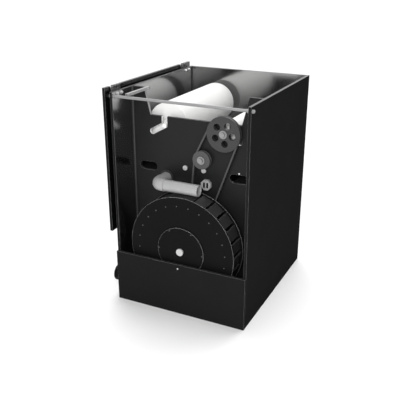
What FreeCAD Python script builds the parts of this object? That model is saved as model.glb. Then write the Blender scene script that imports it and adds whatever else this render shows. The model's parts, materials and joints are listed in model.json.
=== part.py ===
import FreeCAD, Part
import Sketcher
import math
import os

# Roll fleece filter box, in millimetres.
# X runs along the front to the right, Y from front to back, Z up.
# The origin is the middle of the box's underside.

SIZES = {
    # Box of welded sheet
    "box_width": 624,
    "box_height": 960,
    "wall": 12,
    "front_height": 241,
    "divider_setback": 156.5,
    "weld_leg": 5,
    # Cut-outs of the divider
    "notch_top_width": 486,
    "notch_bottom_width": 426,
    "notch_depth": 118,
    "slot_offset": 145,
    "slot_width": 27,
    "slot_neck": 38,
    "slot_run": 59,
    "slot_drop": 33,
    "slot_clearance": 0.3,
    "overflow_length": 88,
    "overflow_height": 39,
    "overflow_left": 229,
    "overflow_right": 207,
    "overflow_level": 610,
    "passage_width": 400,
    "passage_height": 100,
    # Fasteners
    "screw_diameter": 4,
    "screw_head": 6.5,
    "screw_head_height": 2.5,
    "screw_length": 26,
    "bolt_diameter": 8,
    "bolt_head": 13,
    "bolt_head_height": 4.5,
    "bolt_end": 2,
    "nut_height": 6,
    # Panel bolts and the stiffener behind them
    "panel_bolt_offset": 44.5,
    "panel_bolt_drop": 52,
    "panel_bolt_head": 22,
    "panel_bolt_crown": 7,
    "stiffener_length": 150,
    "stiffener_height": 40,
    "stiffener_thickness": 10,
    "slot_screw_rise": 26,
    "front_screw_drop": 18,
    # Tie rod and rest bar
    "tie_rod_diameter": 12,
    "tie_rod_setback": 12,
    "tie_rod_drop": 18,
    "tie_end_diameter": 8,
    "tie_nut_across": 13,
    "tie_nut_height": 6,
    "tie_washer": 16,
    "tie_washer_thickness": 2,
    "tie_collar": 17,
    "tie_collar_length": 7,
    "bar_width": 12,
    "bar_height": 11,
    "bar_wall": 1.5,
    "bar_lead": 6,
    "bar_tail": 18,
    "seat_gap": 0.3,
    # Lid and hinges
    "lid_thickness": 12,
    "lid_overhang": 7,
    "lid_end_overhang": 8,
    "lid_seat": 0.5,
    "hinge_inset": 65,
    "hinge_width": 56,
    "hinge_gap": 0.5,
    "leaf_thickness": 5,
    "leaf_drop": 24,
    "leaf_rise": 6,
    "lid_leaf_thickness": 4,
    "lid_leaf_start": 8,
    "lid_leaf_length": 50,
    "lid_notch_gap": 3,
    "knuckle_diameter": 12,
    "pin_diameter": 5,
    "pin_outset": 4,
    "hinge_bolt_diameter": 5,
    "hinge_bolt_head": 10,
    "hinge_bolt_spread": 32,
    "hinge_bolt_drop": 11,
    "hinge_bolt_reach": 36,
    "hinge_washer": 16,
    "hinge_washer_thickness": 1.5,
    "hinge_nut_across": 10,
    "hinge_nut_height": 5,
    # Water wheel
    "wheel_height": 293,
    "wheel_radius": 247,
    "wheel_gap": 19,
    "wheel_width": 108,
    "disc_thickness": 6,
    "paddle_count": 24,
    "paddle_circle": 207,
    "paddle_foot": 190,
    "paddle_crown": 236,
    "paddle_cover": 0.735,
    "paddle_thickness": 7,
    "paddle_phase": 5,
    "hub_diameter": 60,
    "hub_plate_radius": 110,
    "hub_plate_thickness": 6,
    "hub_screw_count": 6,
    "hub_screw_inset": 6,
    "wheel_axle_diameter": 28,
    "running_clearance": 0.05,
    "end_play": 1,
    "cap_diameter": 32,
    "cap_thickness": 8,
    "flange_diameter": 104,
    "flange_bolt_circle": 84,
    "flange_bolt_count": 4,
    "axle_nut_across": 42,
    "axle_nut_height": 12,
    # Belt drive
    "belt_width": 10,
    "belt_thickness": 7,
    "belt_gap": 0.3,
    "belt_standoff": 16,
    "pulley_width": 20,
    "groove_depth": 9,
    "upper_pulley_radius": 75,
    "lower_pulley_radius": 34,
    "pulley_hole_count": 5,
    "pulley_hole_diameter": 30,
    "pulley_hole_circle": 40,
    "pulley_hole_phase": -8.4,
    "pulley_washer": 35,
    "pulley_washer_thickness": 3,
    "pulley_bolt_across": 19,
    "pulley_bolt_height": 8,
    "tension_radius": 40,
    "tension_offset": 42,
    "tension_drop": 124,
    "stud_diameter": 12,
    "stud_collar": 20,
    # Fleece rolls and screen
    "axle_diameter": 20,
    "axle_lead": 8,
    "axle_tail": 4,
    "fleece_width": 500,
    "fleece_setback": 15.5,
    "fleece_rear_gap": 42,
    "fleece_thickness": 2,
    "supply_diameter": 188,
    "takeup_diameter": 80,
    "core_diameter": 50,
    "web_gap": 0.3,
    "rest_thickness": 18,
    "rest_width": 60,
    "rest_depth": 50,
    "rest_rise": 30,
    "screen_slot_gap": 2,
    "screen_sheet": 3,
    "screen_rise": 44,
    "screen_headroom": 68,
    "screen_rows": 9,
    "screen_columns": 5,
    "screen_slot_length": 80,
    "screen_slot_width": 36,
    "rail_height": 20,
    "rail_drop": 82,
    # Water fittings
    "feed_rise": 3,
    "feed_screen_gap": 8,
    "feed_standoff": 94.5,
    "feed_diameter": 50,
    "feed_wall": 2.5,
    "feed_end": 66,
    "feed_bend": 30,
    "socket_wall": 3,
    "socket_depth": 13,
    "spigot_tail": 12,
    "seal_diameter": 68,
    "seal_groove": 58,
    "seal_lip": 5,
    "port_offset": 58,
    "port_drop": 113,
    "port_across": 46,
    "port_head": 14,
    "port_shank": 36,
    "port_nut": 50,
    "port_nut_height": 9,
    "port_grip_depth": 8,
    "port_grip_width": 9,
    "port_grip_length": 24,
    "port_grip_bar": 6,
    "outlet_diameter": 76,
    "outlet_wall": 4,
    "outlet_level": 100,
    "outlet_setback": 46,
    "outlet_reach": 36,
    "pipe_inner_reach": 4,
    "inlet_diameter": 110,
    "inlet_wall": 4,
    "inlet_level": 620,
    "inlet_reach": 45,
    "inlet_flange": 150,
    "inlet_flange_thickness": 8,
}

# Places that follow from the sizes
PLACES = {
    "half_width": "Sizes.box_width / 2",
    "inner_half": "half_width - Sizes.wall",
    "rear_chamber": "Sizes.fleece_setback + Sizes.fleece_width + Sizes.fleece_rear_gap",
    "box_depth": "3 * Sizes.wall + Sizes.divider_setback + rear_chamber",
    "front_face": "-box_depth / 2",
    "front_inner": "front_face + Sizes.wall",
    "back_face": "box_depth / 2",
    "back_inner": "back_face - Sizes.wall",
    "divider_front": "front_inner + Sizes.divider_setback",
    "divider_rear": "divider_front + Sizes.wall",
    "divider_middle": "divider_front + Sizes.wall / 2",
    "notch_floor": "Sizes.box_height - Sizes.notch_depth",
    # An axle lies in the inner corner of its bent slot
    "slot_elbow": "notch_floor - Sizes.slot_neck",
    "slot_slope": "Sizes.slot_drop / Sizes.slot_run",
    "slot_tilt": "atan(slot_slope) / 1 deg",
    "slot_length": "sqrt(Sizes.slot_run ^ 2 + Sizes.slot_drop ^ 2)",
    "slot_back": "Sizes.slot_width / 2 * (1 - sin(slot_tilt * 1 deg)) / cos(slot_tilt * 1 deg)",
    "slot_corner": "slot_elbow + Sizes.slot_width / 2 * (slot_slope - sqrt(1 + slot_slope ^ 2))",
    "axle_play": "(Sizes.slot_width - Sizes.axle_diameter) / 2 - Sizes.slot_clearance",
    "roll_offset": "Sizes.slot_offset - axle_play",
    "roll_height": "slot_elbow + axle_play * (slot_slope - sqrt(1 + slot_slope ^ 2))",
    "fleece_front": "divider_rear + Sizes.fleece_setback",
    "tension_level": "roll_height - Sizes.tension_drop",
    "panel_bolt_level": "tension_level - Sizes.panel_bolt_drop",
    "port_level": "tension_level - Sizes.port_drop",
    "axle_end": "back_inner - Sizes.axle_tail",
    # Water wheel and belt, from front to back
    "wheel_front": "front_inner + Sizes.wheel_gap",
    "wheel_rear": "wheel_front + Sizes.wheel_width",
    "hub_face": "wheel_front - Sizes.hub_plate_thickness",
    "axle_front": "hub_face - Sizes.end_play",
    "paddle_front": "wheel_front + Sizes.disc_thickness",
    "paddle_span": "Sizes.wheel_width - 2 * Sizes.disc_thickness",
    "paddle_x": "Sizes.paddle_circle * cos(Sizes.paddle_phase * 1 deg)",
    "paddle_z": "Sizes.paddle_circle * sin(Sizes.paddle_phase * 1 deg)",
    "paddle_reach": "Sizes.paddle_crown * tan(360 deg / Sizes.paddle_count * Sizes.paddle_cover)",
    "wheel_bore": "Sizes.wheel_axle_diameter + 2 * Sizes.running_clearance",
    "belt_middle": "divider_front - Sizes.belt_standoff",
    "belt_front": "belt_middle - Sizes.belt_width / 2",
    "pulley_front": "belt_middle - Sizes.pulley_width / 2",
    "pulley_rear": "belt_middle + Sizes.pulley_width / 2",
    "flange_front": "pulley_rear + Sizes.end_play",
    "groove_width": "Sizes.belt_width + 2 * Sizes.belt_gap",
    "groove_start": "(Sizes.pulley_width - groove_width) / 2",
    "upper_groove": "Sizes.upper_pulley_radius - Sizes.groove_depth",
    "lower_groove": "Sizes.lower_pulley_radius - Sizes.groove_depth",
    "tension_groove": "Sizes.tension_radius - Sizes.groove_depth",
    # Lid, hanging open on the left
    "pin_x": "-half_width - Sizes.pin_outset",
    "lid_top": "Sizes.box_height + Sizes.lid_seat + Sizes.lid_thickness",
    "pin_z": "lid_top + Sizes.hinge_gap + Sizes.knuckle_diameter / 2",
    "lid_outer": "pin_x - (pin_z - Sizes.box_height - Sizes.lid_seat)",
    "lid_inner": "lid_outer + Sizes.lid_thickness",
    "lid_length": "Sizes.box_width + 2 * Sizes.lid_overhang",
    "lid_bottom": "pin_z - lid_length",
    "lid_front": "front_face - Sizes.lid_end_overhang",
    "lid_back": "back_face + Sizes.lid_end_overhang",
    "lid_notch_depth": "Sizes.pin_outset + Sizes.lid_notch_gap",
    "lid_notch_width": "Sizes.hinge_width + 2 * Sizes.lid_notch_gap",
    "knuckle_split": "Sizes.hinge_width / 6",
    "hinge_front": "front_face + Sizes.hinge_inset",
    "hinge_rear": "back_face - Sizes.hinge_inset",
    # Tie rod and rest bar
    "tie_y": "front_inner + Sizes.tie_rod_setback",
    "tie_z": "Sizes.box_height - Sizes.tie_rod_drop",
    "tie_end": "half_width + Sizes.tie_washer_thickness + Sizes.tie_nut_height + Sizes.bolt_end",
    "bar_floor": "tie_z + Sizes.tie_rod_diameter / 2",
    "notch_lean": "(Sizes.notch_top_width - Sizes.notch_bottom_width) / 2 / Sizes.notch_depth",
    "bar_edge": "Sizes.notch_top_width / 2 - notch_lean * (Sizes.box_height - bar_floor)",
    "bar_left": "Sizes.seat_gap - bar_edge",
    "bar_front": "tie_y - Sizes.bar_lead",
    "bar_length": "divider_rear + Sizes.bar_tail - bar_front",
    # Screen trough and water fittings
    # The trough stands between the two oval slots
    "screen_middle": "(Sizes.overflow_right - Sizes.overflow_left) / 2",
    "screen_span": "Sizes.overflow_left + Sizes.overflow_right - Sizes.overflow_length",
    "screen_outer": "screen_span / 2 - Sizes.screen_slot_gap",
    "screen_radius": "screen_outer - Sizes.screen_sheet",
    "screen_level": "Sizes.wheel_height + Sizes.screen_rise + screen_outer",
    "screen_top": "roll_height - Sizes.supply_diameter / 2 - Sizes.screen_headroom",
    "screen_length": "back_inner - divider_rear",
    "rail_gap": "Sizes.weld_leg + Sizes.seat_gap",
    "feed_axis": "divider_front - Sizes.feed_standoff",
    "feed_level": "Sizes.wheel_height + Sizes.wheel_radius + Sizes.feed_rise + Sizes.feed_diameter / 2",
    "feed_offset": "screen_radius - screen_middle - Sizes.seal_diameter / 2 - Sizes.feed_screen_gap",
    "bend_x": "-feed_offset + Sizes.feed_bend",
    "bend_y": "feed_axis + Sizes.feed_bend",
    "socket_diameter": "Sizes.feed_diameter + 2 * Sizes.socket_wall",
    "feed_bore": "Sizes.feed_diameter - 2 * Sizes.feed_wall",
    "outlet_y": "front_inner + Sizes.outlet_setback",
}

ALONG_X = FreeCAD.Rotation(FreeCAD.Vector(0, 1, 0), 90)
ALONG_Y = FreeCAD.Rotation(FreeCAD.Vector(1, 0, 0), -90)
AGAINST_X = FreeCAD.Rotation(FreeCAD.Vector(0, 1, 0), -90)
UPRIGHT = FreeCAD.Rotation()
# Turns whose angle is bound to a rule afterwards
ABOUT_Y = FreeCAD.Rotation(FreeCAD.Vector(0, 1, 0), 1)
BACK_ABOUT_Y = FreeCAD.Rotation(FreeCAD.Vector(0, -1, 0), 1)
OVERCUT = "1"

doc = FreeCAD.newDocument("RollFleeceFilter")
sizes = doc.addObject("Spreadsheet::Sheet", "Sizes")
for row, (name, value) in enumerate(SIZES.items(), start=1):
    sizes.set("A%d" % row, name)
    sizes.set("B%d" % row, str(value))
    sizes.setAlias("B%d" % row, name)
doc.recompute()

places = doc.addObject("App::VarSet", "Places")
for name, rule in PLACES.items():
    places.addProperty("App::PropertyFloat", name)
    places.setExpression(name, rule)
doc.recompute()

sub_parts = []


def sub_part(item):
    """Note a finished piece, whose label names its file."""
    sub_parts.append(item)
    return item


def put(item, x, y, z, turn=UPRIGHT):
    """Bind an item's place to three rules."""
    item.Placement = FreeCAD.Placement(FreeCAD.Vector(), turn)
    for axis, rule in zip("xyz", (x, y, z)):
        item.setExpression("Placement.Base." + axis, rule)
    return item


def primitive(kind, label, rules):
    """Add a primitive whose sizes are bound to rules."""
    item = doc.addObject(kind, label)
    for name, rule in rules.items():
        item.setExpression(name, rule)
    return item


def block(label, x, y, z, length, width, height):
    """Block from its low corner."""
    item = primitive("Part::Box", label, {"Length": length, "Width": width, "Height": height})
    return put(item, x, y, z)


def rod(label, x, y, z, diameter, length, turn=ALONG_Y):
    """Round bar from the middle of its first end."""
    item = primitive("Part::Cylinder", label, {"Radius": "(%s) / 2" % diameter, "Height": length})
    return put(item, x, y, z, turn)


def hexagon(label, x, y, z, across, length, turn=ALONG_Y):
    """Six-sided bar of a width across its flats."""
    item = primitive("Part::Prism", label, {"Circumradius": "(%s) / 2 / cos(30 deg)" % across,
                                            "Height": length})
    item.Polygon = 6
    return put(item, x, y, z, turn)


def cone(label, x, y, z, first, last, length, turn):
    """Cone between two diameters."""
    rules = {"Radius1": "(%s) / 2" % first, "Radius2": "(%s) / 2" % last, "Height": length}
    return put(primitive("Part::Cone", label, rules), x, y, z, turn)


def fuse(label, pieces):
    """Join pieces into one."""
    item = doc.addObject("Part::MultiFuse", label)
    item.Shapes = pieces
    return item


def cut(label, base, tools):
    """Take tools away from a base."""
    item = doc.addObject("Part::Cut", label)
    item.Base = base
    item.Tool = tools[0] if len(tools) == 1 else fuse(label + "_tools", tools)
    return item


def group(label, pieces):
    """Keep separate solids together as one piece."""
    item = doc.addObject("Part::Compound", label)
    item.Links = pieces
    return item


def tube(label, x, y, z, outer, inner, length, turn=ALONG_Y):
    """Round bar with a bore."""
    outside = rod(label + "_outside", x, y, z, outer, length, turn)
    bore = rod(label + "_bore", x, y, z, inner, length, turn)
    return cut(label, outside, [bore])


def origin_feature(body, role):
    """One of a body's own planes or axes."""
    return next(item for item in body.Origin.OriginFeatures if item.Role == role)


def new_body(label, x, y, z, turn=UPRIGHT):
    """Body at a place."""
    return put(doc.addObject("PartDesign::Body", label), x, y, z, turn)


def drawing_on(body, role):
    """Sketch on one of a body's own planes."""
    drawing = body.newObject("Sketcher::SketchObject", body.Name + "_sketch")
    drawing.AttachmentSupport = [(origin_feature(body, role), "")]
    drawing.MapMode = "FlatFace"
    return drawing


def bind_datum(drawing, constraint, rule):
    """Add a constraint whose value follows a rule."""
    index = drawing.addConstraint(constraint)
    drawing.setExpression("Constraints[%d]" % index, rule)


def draw_outline(drawing, corners):
    """Closed outline of straight edges between corners given as two rules."""
    count = len(corners)
    turn = 2 * math.pi / count
    spots = [FreeCAD.Vector(2 + math.cos(turn * k), 2 + math.sin(turn * k), 0) for k in range(count)]
    for k in range(count):
        drawing.addGeometry(Part.LineSegment(spots[k], spots[(k + 1) % count]), False)
    for k in range(count):
        drawing.addConstraint(Sketcher.Constraint("Coincident", k, 2, (k + 1) % count, 1))
    for k, (across, up) in enumerate(corners):
        bind_datum(drawing, Sketcher.Constraint("DistanceX", -1, 1, k, 1, spots[k].x), across)
        bind_datum(drawing, Sketcher.Constraint("DistanceY", -1, 1, k, 1, spots[k].y), up)


def draw_circle(drawing, across, up, diameter):
    """Circle at a place given as two rules."""
    start = FreeCAD.Vector(1, 1, 0)
    index = drawing.addGeometry(Part.Circle(start, FreeCAD.Vector(0, 0, 1), 1), False)
    bind_datum(drawing, Sketcher.Constraint("Diameter", index, 2), diameter)
    bind_datum(drawing, Sketcher.Constraint("DistanceX", -1, 1, index, 3, start.x), across)
    bind_datum(drawing, Sketcher.Constraint("DistanceY", -1, 1, index, 3, start.y), up)


def pad(body, drawing, length, reverse=True):
    """Thicken a sketch. A sketch on the XZ plane faces the front, so it is reversed to grow backwards."""
    feature = body.newObject("PartDesign::Pad", body.Name + "_pad")
    feature.Profile = drawing
    feature.Reversed = reverse
    feature.setExpression("Length", length)
    doc.recompute()
    return feature


def repeat_around(body, features, count):
    """Copy features evenly around the body's own Y axis."""
    pattern = body.newObject("PartDesign::PolarPattern", body.Name + "_pattern")
    pattern.Originals = features
    pattern.Axis = (origin_feature(body, "Y_Axis"), [""])
    pattern.Angle = 360
    pattern.setExpression("Occurrences", count)
    body.Tip = pattern
    doc.recompute()


def round_plate(label, x, y, z, diameter, bore, thickness):
    """Disc with a middle bore."""
    body = new_body(label, x, y, z)
    drawing = drawing_on(body, "XZ_Plane")
    draw_circle(drawing, "0", "0", diameter)
    draw_circle(drawing, "0", "0", bore)
    pad(body, drawing, thickness)
    return body


def screw_ring(label, place, across, up, count, length, faces_front=True):
    """Ring of screws about a Y axis, with their heads towards the front or the back."""
    body = new_body(label, *place)
    head = drawing_on(body, "XZ_Plane")
    draw_circle(head, across, up, "Sizes.screw_head")
    head_pad = pad(body, head, "Sizes.screw_head_height", reverse=not faces_front)
    shank = drawing_on(body, "XZ_Plane")
    draw_circle(shank, across, up, "Sizes.screw_diameter")
    shank_pad = pad(body, shank, length, reverse=faces_front)
    repeat_around(body, [head_pad, shank_pad], count)
    return body


def pulley(label, x, z, bore, radius, groove):
    """Turned belt pulley with a square groove, centred on the belt."""
    body = new_body(label, x, "Places.pulley_front", z)
    drawing = drawing_on(body, "XY_Plane")
    rim = "Sizes.pulley_width"
    near = "Places.groove_start"
    far = "Places.groove_start + Places.groove_width"
    bore_radius = "(%s) / 2" % bore
    draw_outline(drawing, [
        (bore_radius, "0"), (radius, "0"), (radius, near), (groove, near),
        (groove, far), (radius, far), (radius, rim), (bore_radius, rim),
    ])
    turned = body.newObject("PartDesign::Revolution", label + "_turned")
    turned.Profile = drawing
    turned.ReferenceAxis = (drawing, ["V_Axis"])
    turned.Angle = 360
    doc.recompute()
    return body


def small_screw(label, x, y, z):
    """Screw driven from the front into a sheet."""
    head_y = "%s - Sizes.screw_head_height" % y
    head = rod(label + "_head", x, head_y, z, "Sizes.screw_head", "Sizes.screw_head_height")
    shank = rod(label + "_shank", x, y, z, "Sizes.screw_diameter", "Sizes.wall")
    return fuse(label, [head, shank])


def through_bolt(label, x, z, face, grip, across, crown, diameter):
    """Bolt and nut along Y: the head stands before a face and the nut lies behind the gripped thickness."""
    back = "%s + %s" % (face, grip)
    head = rod(label + "_head", x, "%s - %s" % (face, crown), z, across, crown)
    shank = rod(label + "_shank", x, face, z, diameter, "%s + Sizes.nut_height + Sizes.bolt_end" % grip)
    bolt = fuse(label, [head, shank])
    nut_blank = hexagon(label + "_nut_blank", x, back, z, "1.6 * (%s)" % diameter, "Sizes.nut_height")
    return bolt, cut(label + "_nut", nut_blank, [bolt])


def hinge_bolt(label, x, y, z, grip, from_left=True):
    """Countersunk bolt along X with a washer and a nut on the far side of the gripped thickness."""
    way = 1 if from_left else -1
    turn = ALONG_X if from_left else AGAINST_X
    depth = "(Sizes.hinge_bolt_head - Sizes.hinge_bolt_diameter) / 2"
    stack = "Sizes.hinge_washer_thickness + Sizes.hinge_nut_height + Sizes.bolt_end"
    far = "%s + %d * (%s)" % (x, way, grip)
    nut_at = "%s + %d * (%s + Sizes.hinge_washer_thickness)" % (x, way, grip)
    head = cone(label + "_head", x, y, z, "Sizes.hinge_bolt_head", "Sizes.hinge_bolt_diameter", depth, turn)
    shank = rod(label + "_shank", x, y, z, "Sizes.hinge_bolt_diameter", "%s + %s" % (grip, stack), turn)
    bolt = fuse(label, [head, shank])
    washer_blank = rod(label + "_washer_blank", far, y, z, "Sizes.hinge_washer",
                       "Sizes.hinge_washer_thickness", turn)
    nut_blank = hexagon(label + "_nut_blank", nut_at, y, z, "Sizes.hinge_nut_across",
                        "Sizes.hinge_nut_height", turn)
    washer = cut(label + "_washer", washer_blank, [bolt])
    nut = cut(label + "_nut", nut_blank, [bolt])
    return bolt, washer, nut


def obround(label, x, y, z, length, height, thickness):
    """Long hole through a sheet that faces the front, centred on a place."""
    straight = "(%s) - (%s)" % (length, height)
    left = "%s - (%s) / 2" % (x, straight)
    right = "%s + (%s) / 2" % (x, straight)
    middle = block(label + "_middle", left, y, "%s - (%s) / 2" % (z, height), straight, thickness, height)
    ends = [rod(label + "_end", at, y, z, height, thickness) for at in (left, right)]
    return fuse(label, [middle] + ends)


def bent_slot(label, side):
    """Bent axle slot of one side of the divider: a neck down from the notch, then a leg outwards."""
    y = "Places.divider_front"
    middle = "%d * Sizes.slot_offset" % side
    neck = block(label + "_neck", "%s - Sizes.slot_width / 2" % middle, y, "Places.slot_corner",
                 "Sizes.slot_width", "Sizes.wall", "Places.notch_floor - Places.slot_corner + %s" % OVERCUT)
    end = rod(label + "_end", "%d * (Sizes.slot_offset + Sizes.slot_run)" % side, y,
              "Places.slot_elbow - Sizes.slot_drop", "Sizes.slot_width", "Sizes.wall")
    leg = primitive("Part::Box", label + "_leg", {
        "Length": "Places.slot_length + Places.slot_back",
        "Width": "Sizes.wall",
        "Height": "Sizes.slot_width",
    })
    run = "cos(Places.slot_tilt * 1 deg)"
    climb = "sin(Places.slot_tilt * 1 deg)"
    put(leg, "%s - %d * Places.slot_back * %s - Sizes.slot_width / 2 * %s" % (middle, side, run, climb), y,
        "Places.slot_elbow + Places.slot_back * %s - %d * Sizes.slot_width / 2 * %s" % (climb, side, run),
        ABOUT_Y)
    leg.setExpression("Placement.Rotation.Angle",
                      "Places.slot_tilt" if side > 0 else "180 - Places.slot_tilt")
    return fuse(label, [neck, leg, end])


def weld_bead(label, x, y, z, height, degrees):
    """Three-cornered bead standing in an inner corner of the box."""
    item = primitive("Part::Wedge", label, {
        "Xmax": "Sizes.weld_leg", "Ymax": "Sizes.weld_leg", "Zmax": height, "Z2max": height,
    })
    item.Xmin = item.Ymin = item.Zmin = 0
    item.X2min = item.X2max = item.Z2min = 0
    return put(item, x, y, z, FreeCAD.Rotation(FreeCAD.Vector(0, 0, 1), degrees))


def build_fittings():
    """Pipes and fittings that pass through the sheets, with the sheet holes they need."""
    x = "-Places.feed_offset"
    z = "Places.feed_level"
    spigot_length = "Places.divider_rear + Sizes.spigot_tail - Places.bend_y"
    spigot = sub_part(tube("feed_spigot", x, "Places.bend_y", z, "Sizes.feed_diameter", "Places.feed_bore",
                           spigot_length))
    pipe_length = "Sizes.feed_end - Places.bend_x"
    sub_part(tube("feed_pipe", "Places.bend_x", "Places.feed_axis", z, "Sizes.feed_diameter",
                  "Places.feed_bore", pipe_length, ALONG_X))
    sub_part(build_elbow(x, z))

    lip_front = rod("seal_lip_front", x, "Places.divider_front - Sizes.seal_lip", z, "Sizes.seal_diameter",
                    "Sizes.seal_lip")
    lip_rear = rod("seal_lip_rear", x, "Places.divider_rear", z, "Sizes.seal_diameter", "Sizes.seal_lip")
    waist = rod("seal_waist", x, "Places.divider_front", z, "Sizes.seal_groove", "Sizes.wall")
    seal_bore = rod("seal_bore", x, "Places.divider_front - Sizes.seal_lip", z, "Sizes.feed_diameter",
                    "Sizes.wall + 2 * Sizes.seal_lip")
    sub_part(cut("feed_seal", fuse("seal_blank", [lip_front, waist, lip_rear]), [seal_bore]))

    shank = build_port()
    return {"divider": [waist, shank], "left": build_outlet(), "back": build_inlet()}


def build_elbow(x, z):
    """Ninety degree elbow with a socket at each end."""
    solids = {}
    for name, diameter in (("outside", "Places.socket_diameter"), ("bore", "Places.feed_bore")):
        bend = primitive("Part::Torus", "elbow_%s_bend" % name, {
            "Radius1": "Sizes.feed_bend", "Radius2": "(%s) / 2" % diameter,
        })
        bend.Angle3 = 90
        put(bend, "Places.bend_x", "Places.bend_y", z, FreeCAD.Rotation(FreeCAD.Vector(0, 0, 1), 180))
        leg_x = rod("elbow_%s_leg_x" % name, "Places.bend_x", "Places.feed_axis", z, diameter,
                    "Sizes.socket_depth", ALONG_X)
        leg_y = rod("elbow_%s_leg_y" % name, x, "Places.bend_y", z, diameter, "Sizes.socket_depth")
        solids[name] = fuse("elbow_" + name, [bend, leg_x, leg_y])
    socket_x = rod("elbow_socket_x", "Places.bend_x", "Places.feed_axis", z, "Sizes.feed_diameter",
                   "Sizes.socket_depth", ALONG_X)
    socket_y = rod("elbow_socket_y", x, "Places.bend_y", z, "Sizes.feed_diameter", "Sizes.socket_depth")
    return cut("feed_elbow", solids["outside"], [solids["bore"], socket_x, socket_y])


def build_port():
    """Plugged port in the divider: eight-sided plug with two grip pockets, and its locknut."""
    x = "Sizes.port_offset"
    z = "Places.port_level"
    front = "Places.divider_front - Sizes.port_head"
    head = primitive("Part::Prism", "port_head", {
        "Circumradius": "Sizes.port_across / 2 / cos(22.5 deg)", "Height": "Sizes.port_head",
    })
    head.Polygon = 8
    put(head, x, front, z, FreeCAD.Rotation(FreeCAD.Vector(0, 1, 0), 22.5).multiply(ALONG_Y))
    shank = rod("port_shank", x, "Places.divider_front", z, "Sizes.port_shank",
                "Sizes.wall + Sizes.port_nut_height")
    pockets = []
    for side in (-1, 1):
        middle = "%s + %d * (Sizes.port_grip_bar + Sizes.port_grip_width) / 2" % (x, side)
        pockets.append(block("port_grip", "%s - Sizes.port_grip_width / 2" % middle, front,
                             "%s - Sizes.port_grip_length / 2" % z, "Sizes.port_grip_width",
                             "Sizes.port_grip_depth", "Sizes.port_grip_length"))
    plug = cut("port_plug", fuse("port_blank", [head, shank]), pockets)
    locknut = tube("port_locknut", x, "Places.divider_rear", z, "Sizes.port_nut", "Sizes.port_shank",
                   "Sizes.port_nut_height")
    sub_part(group("port_fitting", [plug, locknut]))
    return shank


def build_outlet():
    """Outlet pipe on the left wall, with a narrower neck that is welded into the wall."""
    start = "-Places.half_width - Sizes.outlet_reach"
    y = "Places.outlet_y"
    z = "Sizes.outlet_level"
    neck_length = "Sizes.wall + Sizes.pipe_inner_reach"
    pipe = rod("outlet_outside", start, y, z, "Sizes.outlet_diameter", "Sizes.outlet_reach", ALONG_X)
    neck = rod("outlet_neck", "-Places.half_width", y, z, "Sizes.outlet_diameter - Sizes.outlet_wall",
               neck_length, ALONG_X)
    bore = rod("outlet_bore", start, y, z, "Sizes.outlet_diameter - 2 * Sizes.outlet_wall",
               "Sizes.outlet_reach + %s" % neck_length, ALONG_X)
    sub_part(cut("outlet_pipe", fuse("outlet_blank", [pipe, neck]), [bore]))
    return [neck]


def build_inlet():
    """Inlet pipe with a flange on the back wall."""
    start = "Places.back_inner - Sizes.pipe_inner_reach"
    length = "Sizes.pipe_inner_reach + Sizes.wall + Sizes.inlet_reach"
    z = "Sizes.inlet_level"
    pipe = rod("inlet_outside", "0", start, z, "Sizes.inlet_diameter", length)
    flange = rod("inlet_flange", "0", "Places.back_face", z, "Sizes.inlet_flange",
                 "Sizes.inlet_flange_thickness")
    bore = rod("inlet_bore", "0", start, z, "Sizes.inlet_diameter - 2 * Sizes.inlet_wall", length)
    sub_part(cut("inlet_fitting", fuse("inlet_blank", [pipe, flange]), [bore]))
    return [pipe]


def build_tie_rod():
    """Rod that ties the side walls, with nuts outside and collars inside, and the bar that rests on it."""
    y = "Places.tie_y"
    z = "Places.tie_z"
    middle = rod("tie_rod_middle", "-Places.inner_half", y, z, "Sizes.tie_rod_diameter",
                 "2 * Places.inner_half", ALONG_X)
    ends = rod("tie_rod_ends", "-Places.tie_end", y, z, "Sizes.tie_end_diameter", "2 * Places.tie_end",
               ALONG_X)
    bar = sub_part(fuse("tie_rod", [middle, ends]))
    nuts = []
    collars = []
    for name, side in (("left", -1), ("right", 1)):
        outside = "%d * Places.half_width" % side
        washer_at = outside if side > 0 else "%s - Sizes.tie_washer_thickness" % outside
        nut_at = "%s + Sizes.tie_washer_thickness" % outside
        if side < 0:
            nut_at = "%s - Sizes.tie_washer_thickness - Sizes.tie_nut_height" % outside
        collar_at = "-Places.inner_half" if side < 0 else "Places.inner_half - Sizes.tie_collar_length"
        nut_blank = hexagon("tie_nut_blank_" + name, nut_at, y, z, "Sizes.tie_nut_across",
                            "Sizes.tie_nut_height", ALONG_X)
        nuts.append(tube("tie_washer_" + name, washer_at, y, z, "Sizes.tie_washer", "Sizes.tie_end_diameter",
                         "Sizes.tie_washer_thickness", ALONG_X))
        nuts.append(cut("tie_nut_" + name, nut_blank, [bar]))
        collars.append(tube("tie_collar_" + name, collar_at, y, z, "Sizes.tie_collar",
                            "Sizes.tie_rod_diameter", "Sizes.tie_collar_length", ALONG_X))
    sub_part(group("tie_rod_nuts", nuts))
    sub_part(group("tie_rod_collars", collars))
    return bar


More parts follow.
